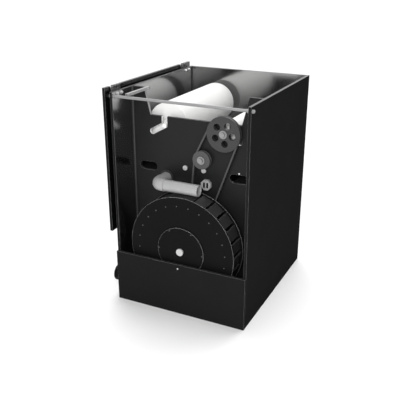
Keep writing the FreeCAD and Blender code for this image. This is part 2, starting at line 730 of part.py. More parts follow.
def build_rest_bar():
    """Square tube from the tie rod to the edge of the notch, with its screw."""
    outside = block("rest_bar_outside", "Places.bar_left", "Places.bar_front", "Places.bar_floor",
                    "Sizes.bar_width", "Places.bar_length", "Sizes.bar_height")
    hollow = block("rest_bar_hollow", "Places.bar_left + Sizes.bar_wall", "Places.bar_front",
                   "Places.bar_floor + Sizes.bar_wall", "Sizes.bar_width - 2 * Sizes.bar_wall",
                   "Places.bar_length", "Sizes.bar_height - 2 * Sizes.bar_wall")
    middle = "Places.bar_floor + Sizes.bar_height / 2"
    right = "Places.bar_left + Sizes.bar_width"
    head = rod("rest_bar_screw_head", right, "Places.divider_middle", middle, "Sizes.screw_head",
               "Sizes.screw_head_height", ALONG_X)
    shank = rod("rest_bar_screw_shank", "%s - Sizes.screw_length" % right, "Places.divider_middle", middle,
                "Sizes.screw_diameter", "Sizes.screw_length", ALONG_X)
    screw = fuse("rest_bar_screw", [head, shank])
    sub_part(cut("rest_bar", outside, [hollow, screw]))
    return screw


def build_box():
    """Welded sheets of the box, with every hole cut by the piece that goes through it."""
    holes = build_fittings()
    tie_rod = build_tie_rod()
    bar_screw = build_rest_bar()
    wall_bolts = build_hinges()
    axle_holes = build_axle()
    stud = build_tension_wheel()
    bolts = build_panel_bolts()

    inner_width = "2 * Places.inner_half"
    side_depth = "Places.box_depth - Sizes.wall"
    sub_part(block("base_plate", "-Places.inner_half", "Places.front_inner", "0", inner_width,
                   "Places.back_inner - Places.front_inner", "Sizes.wall"))
    left = block("left_wall_sheet", "-Places.half_width", "Places.front_inner", "0", "Sizes.wall",
                 side_depth, "Sizes.box_height")
    sub_part(cut("left_wall", left, holes["left"] + [tie_rod] + wall_bolts))
    right = block("right_wall_sheet", "Places.inner_half", "Places.front_inner", "0", "Sizes.wall",
                  side_depth, "Sizes.box_height")
    sub_part(cut("right_wall", right, [tie_rod]))
    back = block("back_wall_sheet", "-Places.inner_half", "Places.back_inner", "0", inner_width,
                 "Sizes.wall", "Sizes.box_height")
    sub_part(cut("back_wall", back, holes["back"]))
    front_screw = small_screw("front_screw", "0", "Places.front_face",
                              "Sizes.front_height - Sizes.front_screw_drop")
    front = block("front_sheet", "-Places.half_width", "Places.front_face", "0", "Sizes.box_width",
                  "Sizes.wall", "Sizes.front_height")
    sub_part(cut("front_panel", front, [front_screw]))
    divider_screw = small_screw("divider_screw", "Sizes.overflow_right", "Places.divider_front",
                                "Sizes.overflow_level + Sizes.slot_screw_rise")
    sub_part(group("box_screws", [front_screw, divider_screw, bar_screw]))
    build_divider(holes["divider"] + [divider_screw, bar_screw, stud] + axle_holes + bolts)
    build_welds()


def build_divider(through):
    """Divider sheet with its notch, bent axle slots, overflow slots and low passage."""
    body = new_body("divider_sheet", "0", "Places.divider_front", "0")
    drawing = drawing_on(body, "XZ_Plane")
    top = "Sizes.box_height"
    draw_outline(drawing, [
        ("-Places.inner_half", "Sizes.wall"), ("-Sizes.passage_width / 2", "Sizes.wall"),
        ("-Sizes.passage_width / 2", "Sizes.wall + Sizes.passage_height"),
        ("Sizes.passage_width / 2", "Sizes.wall + Sizes.passage_height"),
        ("Sizes.passage_width / 2", "Sizes.wall"), ("Places.inner_half", "Sizes.wall"),
        ("Places.inner_half", top), ("Sizes.notch_top_width / 2", top),
        ("Sizes.notch_bottom_width / 2", "Places.notch_floor"),
        ("-Sizes.notch_bottom_width / 2", "Places.notch_floor"),
        ("-Sizes.notch_top_width / 2", top), ("-Places.inner_half", top),
    ])
    pad(body, drawing, "Sizes.wall")
    y = "Places.divider_front"
    ovals = []
    for name, x in (("left", "-Sizes.overflow_left"), ("right", "Sizes.overflow_right")):
        ovals.append(obround("overflow_" + name, x, y, "Sizes.overflow_level", "Sizes.overflow_length",
                             "Sizes.overflow_height", "Sizes.wall"))
    slots = [bent_slot("axle_slot_left", -1), bent_slot("axle_slot_right", 1)]
    sub_part(cut("divider_panel", body, ovals + slots + through))


def build_welds():
    """Weld beads in the upright inner corners."""
    left = "-Places.inner_half"
    right = "Places.inner_half"
    corners = [
        (left, "Places.back_inner", -90), (right, "Places.back_inner", 180),
        (left, "Places.divider_front", -90), (right, "Places.divider_front", 180),
        (left, "Places.divider_rear", 0), (right, "Places.divider_rear", 90),
    ]
    height = "Sizes.box_height - Sizes.wall"
    beads = [weld_bead("weld_bead", x, y, "Sizes.wall", height, degrees) for x, y, degrees in corners]
    sub_part(group("corner_welds", beads))


def build_panel_bolts():
    """Two bolts that hold a stiffener bar on the back of the divider."""
    z = "Places.panel_bolt_level"
    pieces = []
    bolts = []
    for side in (-1, 1):
        bolt, nut = through_bolt("panel_bolt", "%d * Sizes.panel_bolt_offset" % side, z,
                                 "Places.divider_front", "Sizes.wall + Sizes.stiffener_thickness",
                                 "Sizes.panel_bolt_head", "Sizes.panel_bolt_crown", "Sizes.bolt_diameter")
        bolts.append(bolt)
        pieces += [bolt, nut]
    sub_part(group("panel_bolts", pieces))
    bar = block("stiffener_bar", "-Sizes.stiffener_length / 2", "Places.divider_rear",
                "%s - Sizes.stiffener_height / 2" % z, "Sizes.stiffener_length", "Sizes.stiffener_thickness",
                "Sizes.stiffener_height")
    sub_part(cut("divider_stiffener", bar, bolts))
    return bolts


def build_hinges():
    """Lid, hanging open on the left, and its two hinges. Gives back the bolts through the left wall."""
    pins = []
    wall_bolts = []
    wall_set = []
    lid_bolts = []
    lid_set = []
    for name, y in (("front", "Places.hinge_front"), ("rear", "Places.hinge_rear")):
        pin = rod(name + "_hinge_pin", "Places.pin_x", "%s - Sizes.hinge_width / 2" % y, "Places.pin_z",
                  "Sizes.pin_diameter", "Sizes.hinge_width")
        pins.append(pin)
        leaf_bolts = []
        flap_bolts = []
        for side in (-1, 1):
            at = "%s + %d * Sizes.hinge_bolt_spread / 2" % (y, side)
            bolt, washer, nut = hinge_bolt("wall_bolt_" + name, "-Places.half_width - Sizes.leaf_thickness",
                                           at, "Sizes.box_height - Sizes.hinge_bolt_drop",
                                           "Sizes.leaf_thickness + Sizes.wall")
            leaf_bolts.append(bolt)
            wall_set += [bolt, washer, nut]
            bolt, washer, nut = hinge_bolt("lid_bolt_" + name, "Places.lid_inner + Sizes.lid_leaf_thickness",
                                           at, "Places.pin_z - Sizes.hinge_bolt_reach",
                                           "Sizes.lid_leaf_thickness + Sizes.lid_thickness", from_left=False)
            flap_bolts.append(bolt)
            lid_set += [bolt, washer, nut]
        sub_part(wall_leaf(name, y, [pin] + leaf_bolts))
        sub_part(lid_leaf(name, y, flap_bolts))
        wall_bolts += leaf_bolts
        lid_bolts += flap_bolts
    sub_part(group("hinge_pins", pins))
    sub_part(group("hinge_wall_bolts", wall_set))
    sub_part(group("hinge_lid_bolts", lid_set))
    build_lid(lid_bolts)
    return wall_bolts


def wall_leaf(name, y, tools):
    """Hinge leaf on the outside of the left wall, with the two outer knuckles."""
    label = name + "_hinge_wall_leaf"
    x = "-Places.half_width - Sizes.leaf_thickness"
    floor = "Sizes.box_height - Sizes.leaf_drop"
    plate = block(label + "_plate", x, "%s - Sizes.hinge_width / 2" % y, floor, "Sizes.leaf_thickness",
                  "Sizes.hinge_width", "Sizes.leaf_drop + Sizes.leaf_rise")
    pieces = [plate]
    width = "Sizes.hinge_width / 2 - Places.knuckle_split"
    for start in ("%s - Sizes.hinge_width / 2" % y, "%s + Places.knuckle_split" % y):
        pieces.append(block(label + "_post", x, start, floor, "Sizes.leaf_thickness", width,
                            "Places.pin_z - (%s)" % floor))
        pieces.append(rod(label + "_knuckle", "Places.pin_x", start, "Places.pin_z",
                          "Sizes.knuckle_diameter", width))
    return cut(label, fuse(label + "_blank", pieces), tools)


def lid_leaf(name, y, tools):
    """Hinge leaf on the lid, with the middle knuckle."""
    label = name + "_hinge_lid_leaf"
    plate = block(label + "_plate", "Places.lid_inner", "%s - Sizes.hinge_width / 2" % y,
                  "Places.pin_z - Sizes.lid_leaf_start - Sizes.lid_leaf_length", "Sizes.lid_leaf_thickness",
                  "Sizes.hinge_width", "Sizes.lid_leaf_length")
    start = "%s - Places.knuckle_split + Sizes.hinge_gap" % y
    width = "2 * (Places.knuckle_split - Sizes.hinge_gap)"
    arm = block(label + "_arm", "Places.lid_inner + Sizes.hinge_gap", start,
                "Places.pin_z - Sizes.lid_leaf_start - Sizes.lid_leaf_thickness",
                "Sizes.lid_leaf_thickness - Sizes.hinge_gap", width,
                "Sizes.lid_leaf_start + Sizes.lid_leaf_thickness")
    knuckle = rod(label + "_knuckle", "Places.pin_x", start, "Places.pin_z", "Sizes.knuckle_diameter", width)
    bore = rod(label + "_bore", "Places.pin_x", start, "Places.pin_z",
               "Sizes.pin_diameter + 2 * Sizes.running_clearance", width)
    return cut(label, fuse(label + "_blank", [plate, arm, knuckle]), [bore] + tools)


def build_lid(bolts):
    """Flat lid sheet with a notch at each hinge."""
    body = new_body("lid_sheet", "Places.lid_outer", "0", "0")
    drawing = drawing_on(body, "YZ_Plane")
    top = "Places.pin_z"
    inset = "Places.pin_z - Places.lid_notch_depth"
    half = "Places.lid_notch_width / 2"
    corners = [("Places.lid_front", "Places.lid_bottom"), ("Places.lid_back", "Places.lid_bottom"),
               ("Places.lid_back", top)]
    for y in ("Places.hinge_rear", "Places.hinge_front"):
        far = "%s + %s" % (y, half)
        near = "%s - %s" % (y, half)
        corners += [(far, top), (far, inset), (near, inset), (near, top)]
    corners.append(("Places.lid_front", top))
    draw_outline(drawing, corners)
    pad(body, drawing, "Sizes.lid_thickness", reverse=False)
    sub_part(cut("lid", body, bolts))


def build_axle():
    """Fixed axle of the wheel and what holds it. Gives back what goes through the divider."""
    z = "Sizes.wheel_height"
    length = "Places.divider_rear + Sizes.axle_nut_height + Sizes.bolt_end - Places.axle_front"
    axle = sub_part(rod("wheel_axle", "0", "Places.axle_front", z, "Sizes.wheel_axle_diameter", length))
    sub_part(rod("axle_cap", "0", "Places.axle_front - Sizes.cap_thickness", z, "Sizes.cap_diameter",
                 "Sizes.cap_thickness"))
    nut_blank = hexagon("axle_nut_blank", "0", "Places.divider_rear", z, "Sizes.axle_nut_across",
                        "Sizes.axle_nut_height")
    bolts = []
    pieces = [cut("axle_nut", nut_blank, [axle])]
    grip = "Places.divider_rear - Places.flange_front"
    for k in range(int(sizes.flange_bolt_count)):
        turn = "(45 + 360 / Sizes.flange_bolt_count * %d) * 1 deg" % k
        bolt_x = "Sizes.flange_bolt_circle / 2 * cos(%s)" % turn
        bolt_z = "%s + Sizes.flange_bolt_circle / 2 * sin(%s)" % (z, turn)
        bolt, nut = through_bolt("flange_bolt", bolt_x, bolt_z, "Places.flange_front", grip,
                                 "Sizes.bolt_head", "Sizes.bolt_head_height", "Sizes.bolt_diameter")
        bolts.append(bolt)
        pieces += [bolt, nut]
    sub_part(group("axle_fasteners", pieces))
    plate = round_plate("axle_flange_plate", "0", "Places.flange_front", z, "Sizes.flange_diameter",
                        "Sizes.wheel_axle_diameter", "Places.divider_front - Places.flange_front")
    sub_part(cut("axle_flange", plate, bolts))
    return [axle] + bolts


def build_wheel():
    """Water wheel: two discs, bucket paddles between them, hub, hub plate, screws and belt pulley."""
    z = "Sizes.wheel_height"
    spot = ("Places.paddle_x", "Places.paddle_z")
    front_screws = sub_part(screw_ring("front_paddle_screws", ("0", "Places.wheel_front", z), *spot,
                                       "Sizes.paddle_count", "Sizes.screw_length"))
    rear_screws = sub_part(screw_ring("rear_paddle_screws", ("0", "Places.wheel_rear", z), *spot,
                                      "Sizes.paddle_count", "Sizes.screw_length", faces_front=False))
    hub_grip = "Sizes.hub_plate_thickness + Sizes.disc_thickness + Sizes.bolt_end"
    hub_screws = sub_part(screw_ring("hub_screws", ("0", "Places.hub_face", z),
                                     "Sizes.hub_plate_radius - Sizes.hub_screw_inset", "0",
                                     "Sizes.hub_screw_count", hub_grip))
    front = round_plate("front_disc_sheet", "0", "Places.wheel_front", z, "2 * Sizes.wheel_radius",
                        "Sizes.hub_diameter", "Sizes.disc_thickness")
    sub_part(cut("wheel_front_disc", front, [front_screws, hub_screws]))
    rear = round_plate("rear_disc_sheet", "0", "Places.wheel_rear - Sizes.disc_thickness", z,
                       "2 * Sizes.wheel_radius", "Sizes.hub_diameter", "Sizes.disc_thickness")
    sub_part(cut("wheel_rear_disc", rear, [rear_screws]))
    plate = round_plate("hub_plate_sheet", "0", "Places.hub_face", z, "2 * Sizes.hub_plate_radius",
                        "Places.wheel_bore", "Sizes.hub_plate_thickness")
    sub_part(cut("wheel_hub_plate", plate, [hub_screws]))
    sub_part(tube("wheel_hub", "0", "Places.wheel_front", z, "Sizes.hub_diameter", "Places.wheel_bore",
                  "Places.pulley_front - Places.wheel_front"))
    sub_part(cut("wheel_paddles", build_paddles(), [front_screws, rear_screws]))
    sub_part(pulley("wheel_pulley", "0", z, "Places.wheel_bore", "Sizes.lower_pulley_radius",
                    "Places.lower_groove"))


def build_paddles():
    """Ring of bucket paddles, each a radial leg with a board that runs back from its outer end."""
    body = new_body("paddle_boards", "0", "Places.paddle_front", "Sizes.wheel_height", BACK_ABOUT_Y)
    body.setExpression("Placement.Rotation.Angle", "Sizes.paddle_phase")
    drawing = drawing_on(body, "XZ_Plane")
    side = "Sizes.paddle_thickness / 2"
    below = "Sizes.paddle_crown - Sizes.paddle_thickness"
    draw_outline(drawing, [
        ("Sizes.paddle_foot", "-" + side), ("Sizes.paddle_crown", "-" + side),
        ("Sizes.paddle_crown", "Places.paddle_reach"), (below, "Places.paddle_reach"),
        (below, side), ("Sizes.paddle_foot", side),
    ])
    board = pad(body, drawing, "Places.paddle_span")
    repeat_around(body, [board], "Sizes.paddle_count")
    return body


def build_tension_wheel():
    """Free wheel that tightens the belt, on a stud through the divider."""
    x = "Sizes.tension_offset"
    z = "Places.tension_level"
    sub_part(pulley("tension_wheel", x, z, "Sizes.stud_diameter + 2 * Sizes.running_clearance",
                    "Sizes.tension_radius", "Places.tension_groove"))
    face = "Places.pulley_front - Sizes.end_play"
    washer = rod("stud_washer", x, "%s - Sizes.pulley_washer_thickness" % face, z, "Sizes.pulley_washer",
                 "Sizes.pulley_washer_thickness")
    head = hexagon("stud_head", x, "%s - Sizes.pulley_washer_thickness - Sizes.pulley_bolt_height" % face, z,
                   "Sizes.pulley_bolt_across", "Sizes.pulley_bolt_height")
    shank = rod("stud_shank", x, face, z, "Sizes.stud_diameter",
                "Places.divider_rear + Sizes.tie_nut_height + Sizes.bolt_end - (%s)" % face)
    collar = rod("stud_collar", x, "Places.flange_front", z, "Sizes.stud_collar",
                 "Places.divider_front - Places.flange_front")
    bolt = fuse("tension_bolt", [washer, head, shank, collar])
    nut_blank = hexagon("tension_nut_blank", x, "Places.divider_rear", z, "Sizes.pulley_bolt_across",
                        "Sizes.tie_nut_height")
    sub_part(group("tension_stud", [bolt, cut("tension_nut", nut_blank, [shank])]))
    return bolt


def build_upper_pulley():
    """Take-up pulley with its ring of round holes, washer and bolt."""
    x = "Places.roll_offset"
    z = "Places.roll_height"
    body = pulley("takeup_pulley", x, z, "Sizes.axle_diameter", "Sizes.upper_pulley_radius",
                  "Places.upper_groove")
    drawing = drawing_on(body, "XZ_Plane")
    phase = "Sizes.pulley_hole_phase * 1 deg"
    draw_circle(drawing, "Sizes.pulley_hole_circle * cos(%s)" % phase,
                "Sizes.pulley_hole_circle * sin(%s)" % phase, "Sizes.pulley_hole_diameter")
    hole = body.newObject("PartDesign::Pocket", "takeup_pulley_hole")
    hole.Profile = drawing
    hole.setExpression("Length", "Sizes.pulley_width")
    doc.recompute()
    repeat_around(body, [hole], "Sizes.pulley_hole_count")
    sub_part(body)
    washer_at = "Places.pulley_front - Sizes.pulley_washer_thickness"
    washer = rod("pulley_washer", x, washer_at, z, "Sizes.pulley_washer", "Sizes.pulley_washer_thickness")
    head = hexagon("pulley_bolt_head", x, "%s - Sizes.pulley_bolt_height" % washer_at, z,
                   "Sizes.pulley_bolt_across", "Sizes.pulley_bolt_height")
    sub_part(group("takeup_bolt", [washer, head]))


def build_rolls():
    """Supply roll and take-up roll, each on a core and an axle, and the rests of their rear ends."""
    rolls = (
        ("supply", -1, "Sizes.supply_diameter", "supply_axle", "Places.divider_front - Sizes.axle_lead"),
        ("takeup", 1, "Sizes.takeup_diameter", "takeup_shaft", "Places.pulley_front"),
    )
    z = "Places.roll_height"
    rests = []
    for name, side, diameter, axle, start in rolls:
        x = "%d * Places.roll_offset" % side
        sub_part(rod(axle, x, start, z, "Sizes.axle_diameter", "Places.axle_end - (%s)" % start))
        sub_part(tube(name + "_core", x, "Places.fleece_front", z, "Sizes.core_diameter",
                      "Sizes.axle_diameter", "Sizes.fleece_width"))
        sub_part(tube(name + "_fleece", x, "Places.fleece_front", z, diameter, "Sizes.core_diameter",
                      "Sizes.fleece_width"))
        rests.append(axle_rest(name + "_axle_rest", x, z))
    sub_part(group("axle_rests", rests))


def axle_rest(label, x, z):
    """Block on the back wall with a slot, open at the top, for the rear end of an axle."""
    y = "Places.back_inner - Sizes.rest_thickness"
    slot_width = "Sizes.axle_diameter + 2 * Sizes.slot_clearance"
    body = block(label + "_block", "%s - Sizes.rest_width / 2" % x, y, "%s - Sizes.rest_depth" % z,
                 "Sizes.rest_width", "Sizes.rest_thickness", "Sizes.rest_depth + Sizes.rest_rise")
    seat = rod(label + "_seat", x, y, z, slot_width, "Sizes.rest_thickness")
    mouth = block(label + "_mouth", "%s - (%s) / 2" % (x, slot_width), y, z, slot_width,
                  "Sizes.rest_thickness", "Sizes.rest_rise + %s" % OVERCUT)
    return cut(label, body, [seat, mouth])


def build_screen():
    """Slotted trough that carries the fleece, and the rails that close the gap to the side walls."""
    y = "Places.divider_rear"
    z = "Places.screen_level"
    middle = "Places.screen_middle"
    length = "Places.screen_length"
    halves = {}
    for name, radius, extra in (("outside", "Places.screen_outer", "0"),
                                ("inside", "Places.screen_radius", OVERCUT)):
        round_part = rod("screen_round_" + name, middle, y, z, "2 * " + radius, length)
        leg = block("screen_leg_" + name, "%s - %s" % (middle, radius), y, z, "2 * " + radius, length,
                    "Places.screen_top - %s + %s" % (z, extra))
        halves[name] = fuse("screen_" + name, [round_part, leg])
    above = block("screen_above", "%s - Places.screen_outer" % middle, y, "Places.screen_top",
                  "2 * Places.screen_outer", length, "Places.screen_outer")
    slots = []
    rows = int(sizes.screen_rows)
    columns = int(sizes.screen_columns)
    start = "(Places.screen_radius - Sizes.screen_sheet)"
    half = "Sizes.screen_slot_width / 2"
    for row in range(rows):
        angle = "180 / (Sizes.screen_rows + 1) * %d" % (row + 1)
        for column in range(columns):
            slot_y = "%s + %s / Sizes.screen_columns * %.1f" % (y, length, column + 0.5)
            slot = primitive("Part::Box", "screen_slot", {
                "Length": "4 * Sizes.screen_sheet", "Width": "Sizes.screen_slot_length",
                "Height": "Sizes.screen_slot_width",
            })
            run = "cos(%s * 1 deg)" % angle
            climb = "sin(%s * 1 deg)" % angle
            put(slot, "%s + %s * %s - %s * %s" % (middle, start, run, half, climb),
                "%s - Sizes.screen_slot_length / 2" % slot_y,
                "%s - %s * %s - %s * %s" % (z, start, climb, half, run), ABOUT_Y)
            slot.setExpression("Placement.Rotation.Angle", angle)
            slots.append(slot)
    sub_part(cut("screen_trough", halves["outside"], [halves["inside"], above] + slots))
    rails = []
    for x, far in (("-Places.inner_half", "%s - Places.screen_outer" % middle),
                   ("%s + Places.screen_outer" % middle, "Places.inner_half")):
        rails.append(block("screen_rail", x, "%s + Places.rail_gap" % y,
                           "Places.screen_top - Sizes.rail_drop", "%s - (%s)" % (far, x),
                           "%s - 2 * Places.rail_gap" % length, "Sizes.rail_height"))
    sub_part(group("screen_rails", rails))


def spot(x, z, y=0.0):
    """Point in a plane that faces the front."""
    return FreeCAD.Vector(x, y, z)


def build_belt():
    """Flat belt round the three pulleys, as the loop that the pulleys leave it."""
    wheels = [
        (0.0, sizes.wheel_height, places.lower_groove),
        (places.roll_offset, places.roll_height, places.upper_groove),
        (sizes.tension_offset, places.tension_level, places.tension_groove),
    ]
    faces = [belt_face(wheels, sizes.belt_gap + extra) for extra in (sizes.belt_thickness, 0.0)]
    item = doc.addObject("Part::Feature", "drive_belt")
    item.Shape = faces[0].cut(faces[1]).extrude(FreeCAD.Vector(0, sizes.belt_width, 0))
    item.Placement = FreeCAD.Placement(FreeCAD.Vector(0, places.belt_front, 0), FreeCAD.Rotation())
    sub_part(item)


def belt_face(wheels, offset):
    """Face inside a loop that runs counterclockwise round circles, at an offset from their grooves."""
    headings = []
    for (x, z, radius), (next_x, next_z, next_radius) in zip(wheels, wheels[1:] + wheels[:1]):
        run = math.hypot(next_x - x, next_z - z)
        headings.append(math.atan2(next_z - z, next_x - x) + math.asin((radius - next_radius) / run))
    edges = []
    last = None
    for k, (x, z, radius) in enumerate(wheels):
        start = headings[k - 1] - math.pi / 2
        end = headings[k] - math.pi / 2
        end += 2 * math.pi * math.ceil((start - end) / (2 * math.pi))
        reach = radius + offset
        turns = (start, (start + end) / 2, end)
        points = [spot(x + reach * math.cos(a), z + reach * math.sin(a)) for a in turns]
        if last is not None:
            edges.append(Part.LineSegment(last, points[0]).toShape())
        edges.append(Part.Arc(*points).toShape())
        last = points[2]
    edges.append(Part.LineSegment(last, edges[0].Vertexes[0].Point).toShape())
    return Part.Face(Part.Wire(edges))


def tangent_point(start, centre, radius):
    """Point where a straight run from start touches a circle that lies on its right."""
    away = centre - start
    distance = away.Length
    heading = math.atan2(away.z, away.x) + math.asin(radius / distance)
    run = math.sqrt(distance ** 2 - radius ** 2)
    return start + spot(run * math.cos(heading), run * math.sin(heading))


def build_web():
    """Fleece from the supply roll down round the trough and up to the take-up roll."""
    half = sizes.fleece_thickness / 2
    radius = places.screen_radius - sizes.web_gap - half
    left = places.screen_middle - radius
    right = places.screen_middle + radius
    left_top = spot(left, places.screen_top)
    right_top = spot(right, places.screen_top)
    supply_reach = sizes.supply_diameter / 2 + sizes.web_gap + half
    takeup_reach = sizes.takeup_diameter / 2 + sizes.web_gap + half
    supply = spot(-places.roll_offset, places.roll_height)
    takeup = spot(places.roll_offset, places.roll_height)
    path = [tangent_point(left_top, supply, supply_reach), left_top, spot(left, places.screen_level)]
    path += [spot(right, places.screen_level), right_top, tangent_point(right_top, takeup, takeup_reach)]
    outer = offset_path(path, half)
    inner = offset_path(path, -half)
    edges = web_edges(outer, spot(places.screen_middle, places.screen_level - radius - half))
    back = web_edges(inner, spot(places.screen_middle, places.screen_level - radius + half))
    edges.append(Part.LineSegment(outer[-1], inner[-1]).toShape())
    edges += back[::-1]
    edges.append(Part.LineSegment(inner[0], outer[0]).toShape())
    item = doc.addObject("Part::Feature", "fleece_web")
    item.Shape = Part.Face(Part.Wire(edges)).extrude(FreeCAD.Vector(0, sizes.fleece_width, 0))
    item.Placement = FreeCAD.Placement(FreeCAD.Vector(0, places.fleece_front, 0), FreeCAD.Rotation())
    sub_part(item)


def offset_path(path, distance):
    """Path moved to its right by a distance, with its bends mitred. The middle run is left to an arc."""
    headings = [(after - before).normalize() for before, after in zip(path, path[1:])]
    headings[2] = None
    moved = []
    for k, point in enumerate(path):
        beside = [headings[j] for j in (k - 1, k) if 0 <= j < len(headings) and headings[j] is not None]
        normals = [spot(run.z, -run.x) for run in beside]
        shift = normals[0]
        if len(normals) == 2:
            shift = (normals[0] + normals[1]) * (1 / (1 + normals[0].dot(normals[1])))
        moved.append(point + shift * distance)
    return moved


def web_edges(points, bottom):
    """Two straight runs, the half circle of the trough and two straight runs."""
    edges = [Part.LineSegment(points[k], points[k + 1]).toShape() for k in (0, 1)]
    edges.append(Part.Arc(points[2], bottom, points[3]).toShape())
    edges += [Part.LineSegment(points[k], points[k + 1]).toShape() for k in (3, 4)]
    return edges


def check_and_write():
    """Stop at any failed object, then write each piece to its own file."""
    for item in doc.Objects:
        if "Invalid" in item.State or "Error" in item.State:
            raise RuntimeError("failed object: " + item.Label)
    for item in sub_parts:
        if item.Shape.isNull() or not item.Shape.isValid() or not item.Shape.Solids:
            raise RuntimeError("bad shape: " + item.Label)
    os.makedirs("parts", exist_ok=True)
    for item in sub_parts:
        item.Shape.exportStep("parts/%s.step" % item.Label)
        print("%-24s %3d solids %12.1f mm3" % (item.Label, len(item.Shape.Solids), item.Shape.Volume))


build_box()
build_wheel()
build_upper_pulley()
build_rolls()
build_screen()
build_belt()
build_web()
doc.recompute()
check_and_write()
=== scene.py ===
"""Looks of the roll fleece filter box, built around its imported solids, in metres."""

import json
import logging
import math
from dataclasses import dataclass, field
from enum import Enum
from typing import Callable, Sequence

import bmesh
import bpy
from mathutils import Euler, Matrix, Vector


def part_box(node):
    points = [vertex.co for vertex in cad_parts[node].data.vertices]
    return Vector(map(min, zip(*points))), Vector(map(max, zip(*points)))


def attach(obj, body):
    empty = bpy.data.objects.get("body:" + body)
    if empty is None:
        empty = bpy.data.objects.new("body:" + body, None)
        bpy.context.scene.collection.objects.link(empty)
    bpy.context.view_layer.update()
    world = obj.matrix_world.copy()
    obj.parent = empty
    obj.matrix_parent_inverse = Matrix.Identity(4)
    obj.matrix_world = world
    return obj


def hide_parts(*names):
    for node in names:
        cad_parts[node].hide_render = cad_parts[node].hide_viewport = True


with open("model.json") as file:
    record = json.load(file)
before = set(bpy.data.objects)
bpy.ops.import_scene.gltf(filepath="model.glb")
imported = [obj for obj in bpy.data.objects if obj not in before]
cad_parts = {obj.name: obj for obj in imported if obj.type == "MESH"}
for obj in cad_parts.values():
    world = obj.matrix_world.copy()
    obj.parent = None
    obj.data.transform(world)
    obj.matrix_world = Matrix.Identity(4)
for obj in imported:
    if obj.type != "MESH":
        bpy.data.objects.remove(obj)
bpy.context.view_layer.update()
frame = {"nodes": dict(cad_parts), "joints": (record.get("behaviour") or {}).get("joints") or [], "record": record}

log = logging.getLogger("fleece_filter")

Colour = tuple[float, float, float]
Point = tuple[float, float, float]

# Steps and angles of the meshes
BEVEL_SAMPLES = 4
SHARP_ANGLE = 35.0
SPIRAL_STEPS = 48
BEAD_STEPS = 3
BEAD_SIDES = 10
# Least and greatest strength of worn edges and of the painted highlight along edges
WEAR_AND_HIGHLIGHT_GAIN = (1.5, 5.0)
# Scale and middle of the noise that ripples the wound fleece
RIPPLE_SCALE = 40.0
RIPPLE_MIDDLE = (0.5, 0.5, 0.5)
# Decimals of a metre that the frame's boxes hold without noise
CLEAN_DIGITS = 7
FLEECE_THICKNESS = 0.002


class Body(str, Enum):
    """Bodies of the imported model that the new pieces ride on."""

    BOX = "box"
    WHEEL = "water_wheel"
    TAKEUP = "takeup_roll"
    SUPPLY = "supply_roll"


class Slot(str, Enum):
    """Material slots of the record."""

    SHEET = "black_sheet"
    SATIN = "satin_sheet"
    DIVIDER = "divider_sheet"
    WELD = "black_weld"
    WHEEL = "wheel_sheet"
    GREY_PIPE = "grey_pipe"
    BLACK_PIPE = "black_pipe"
    PULLEY = "dark_pulley"
    ROLLER = "grey_wheel"
    BELT = "belt_rubber"
    SEAL = "seal_rubber"
    STEEL = "bright_steel"
    SCREW = "dark_screw"
    ROD = "grey_rod"
    WHITE = "white_plastic"
    BAR = "light_bar"
    HINGE = "hinge_black"
    FLEECE = "white_fleece"
    CORE = "core_board"


class NodeBoard:
    """A node tree with short ways to add and join nodes."""

    def __init__(self, tree: bpy.types.NodeTree) -> None:
        """Keep the tree.

        Args:
            tree: The shader or geometry tree to add to.
        """
        self.tree = tree

    def add(self, kind: str, **settings: object) -> bpy.types.Node:
        """Add a node.

        Args:
            kind: Blender's name of the node type.
            settings: Properties to set on the node.

        Returns:
            The new node.
        """
        node = self.tree.nodes.new(kind)
        for name, value in settings.items():
            setattr(node, name, value)
        return node

    def join(self, source: bpy.types.NodeSocket, target: bpy.types.NodeSocket) -> None:
        """Link an output to an input."""
        self.tree.links.new(source, target)

    def feed(self, target: bpy.types.NodeSocket, source: object) -> None:
        """Set an input to a value, or link it if the source is a socket.

        Args:
            target: The input.
            source: A number, a vector, a colour or an output socket.
        """
        if isinstance(source, bpy.types.NodeSocket):
            self.join(source, target)
        else:
            target.default_value = source

    def math(self, operation: str, first: object, second: object = 0.0) -> bpy.types.NodeSocket:
        """Add a math node and give back its result.

        Args:
            operation: Blender's name of the operation.
            first: First value or socket.
            second: Second value or socket.

        Returns:
            The output socket.
        """
        node = self.add("ShaderNodeMath", operation=operation)
        self.feed(node.inputs[0], first)
        self.feed(node.inputs[1], second)
        return node.outputs[0]

    def blend(self, share: object, first: object, second: object) -> bpy.types.NodeSocket:
        """Mix two colours.

        Args:
            share: Share of the second colour.
            first: First colour or socket.
            second: Second colour or socket.

        Returns:
            The mixed colour.
        """
        node = self.add("ShaderNodeMix", data_type="RGBA")
        self.feed(node.inputs["Factor"], share)
        self.feed(node.inputs["A"], first)
        self.feed(node.inputs["B"], second)
        return next(item for item in node.outputs if item.type == "RGBA")

    def spread(self, value: bpy.types.NodeSocket, low: float, high: float) -> bpy.types.NodeSocket:
        """Map a value from 0 to 1 onto a range.

        Args:
            value: The socket to map.
            low: Result at 0.
            high: Result at 1.

        Returns:
            The mapped value.
        """
        node = self.add("ShaderNodeMapRange")
        self.join(value, node.inputs["Value"])
        node.inputs["To Min"].default_value = low
        node.inputs["To Max"].default_value = high
        return node.outputs["Result"]


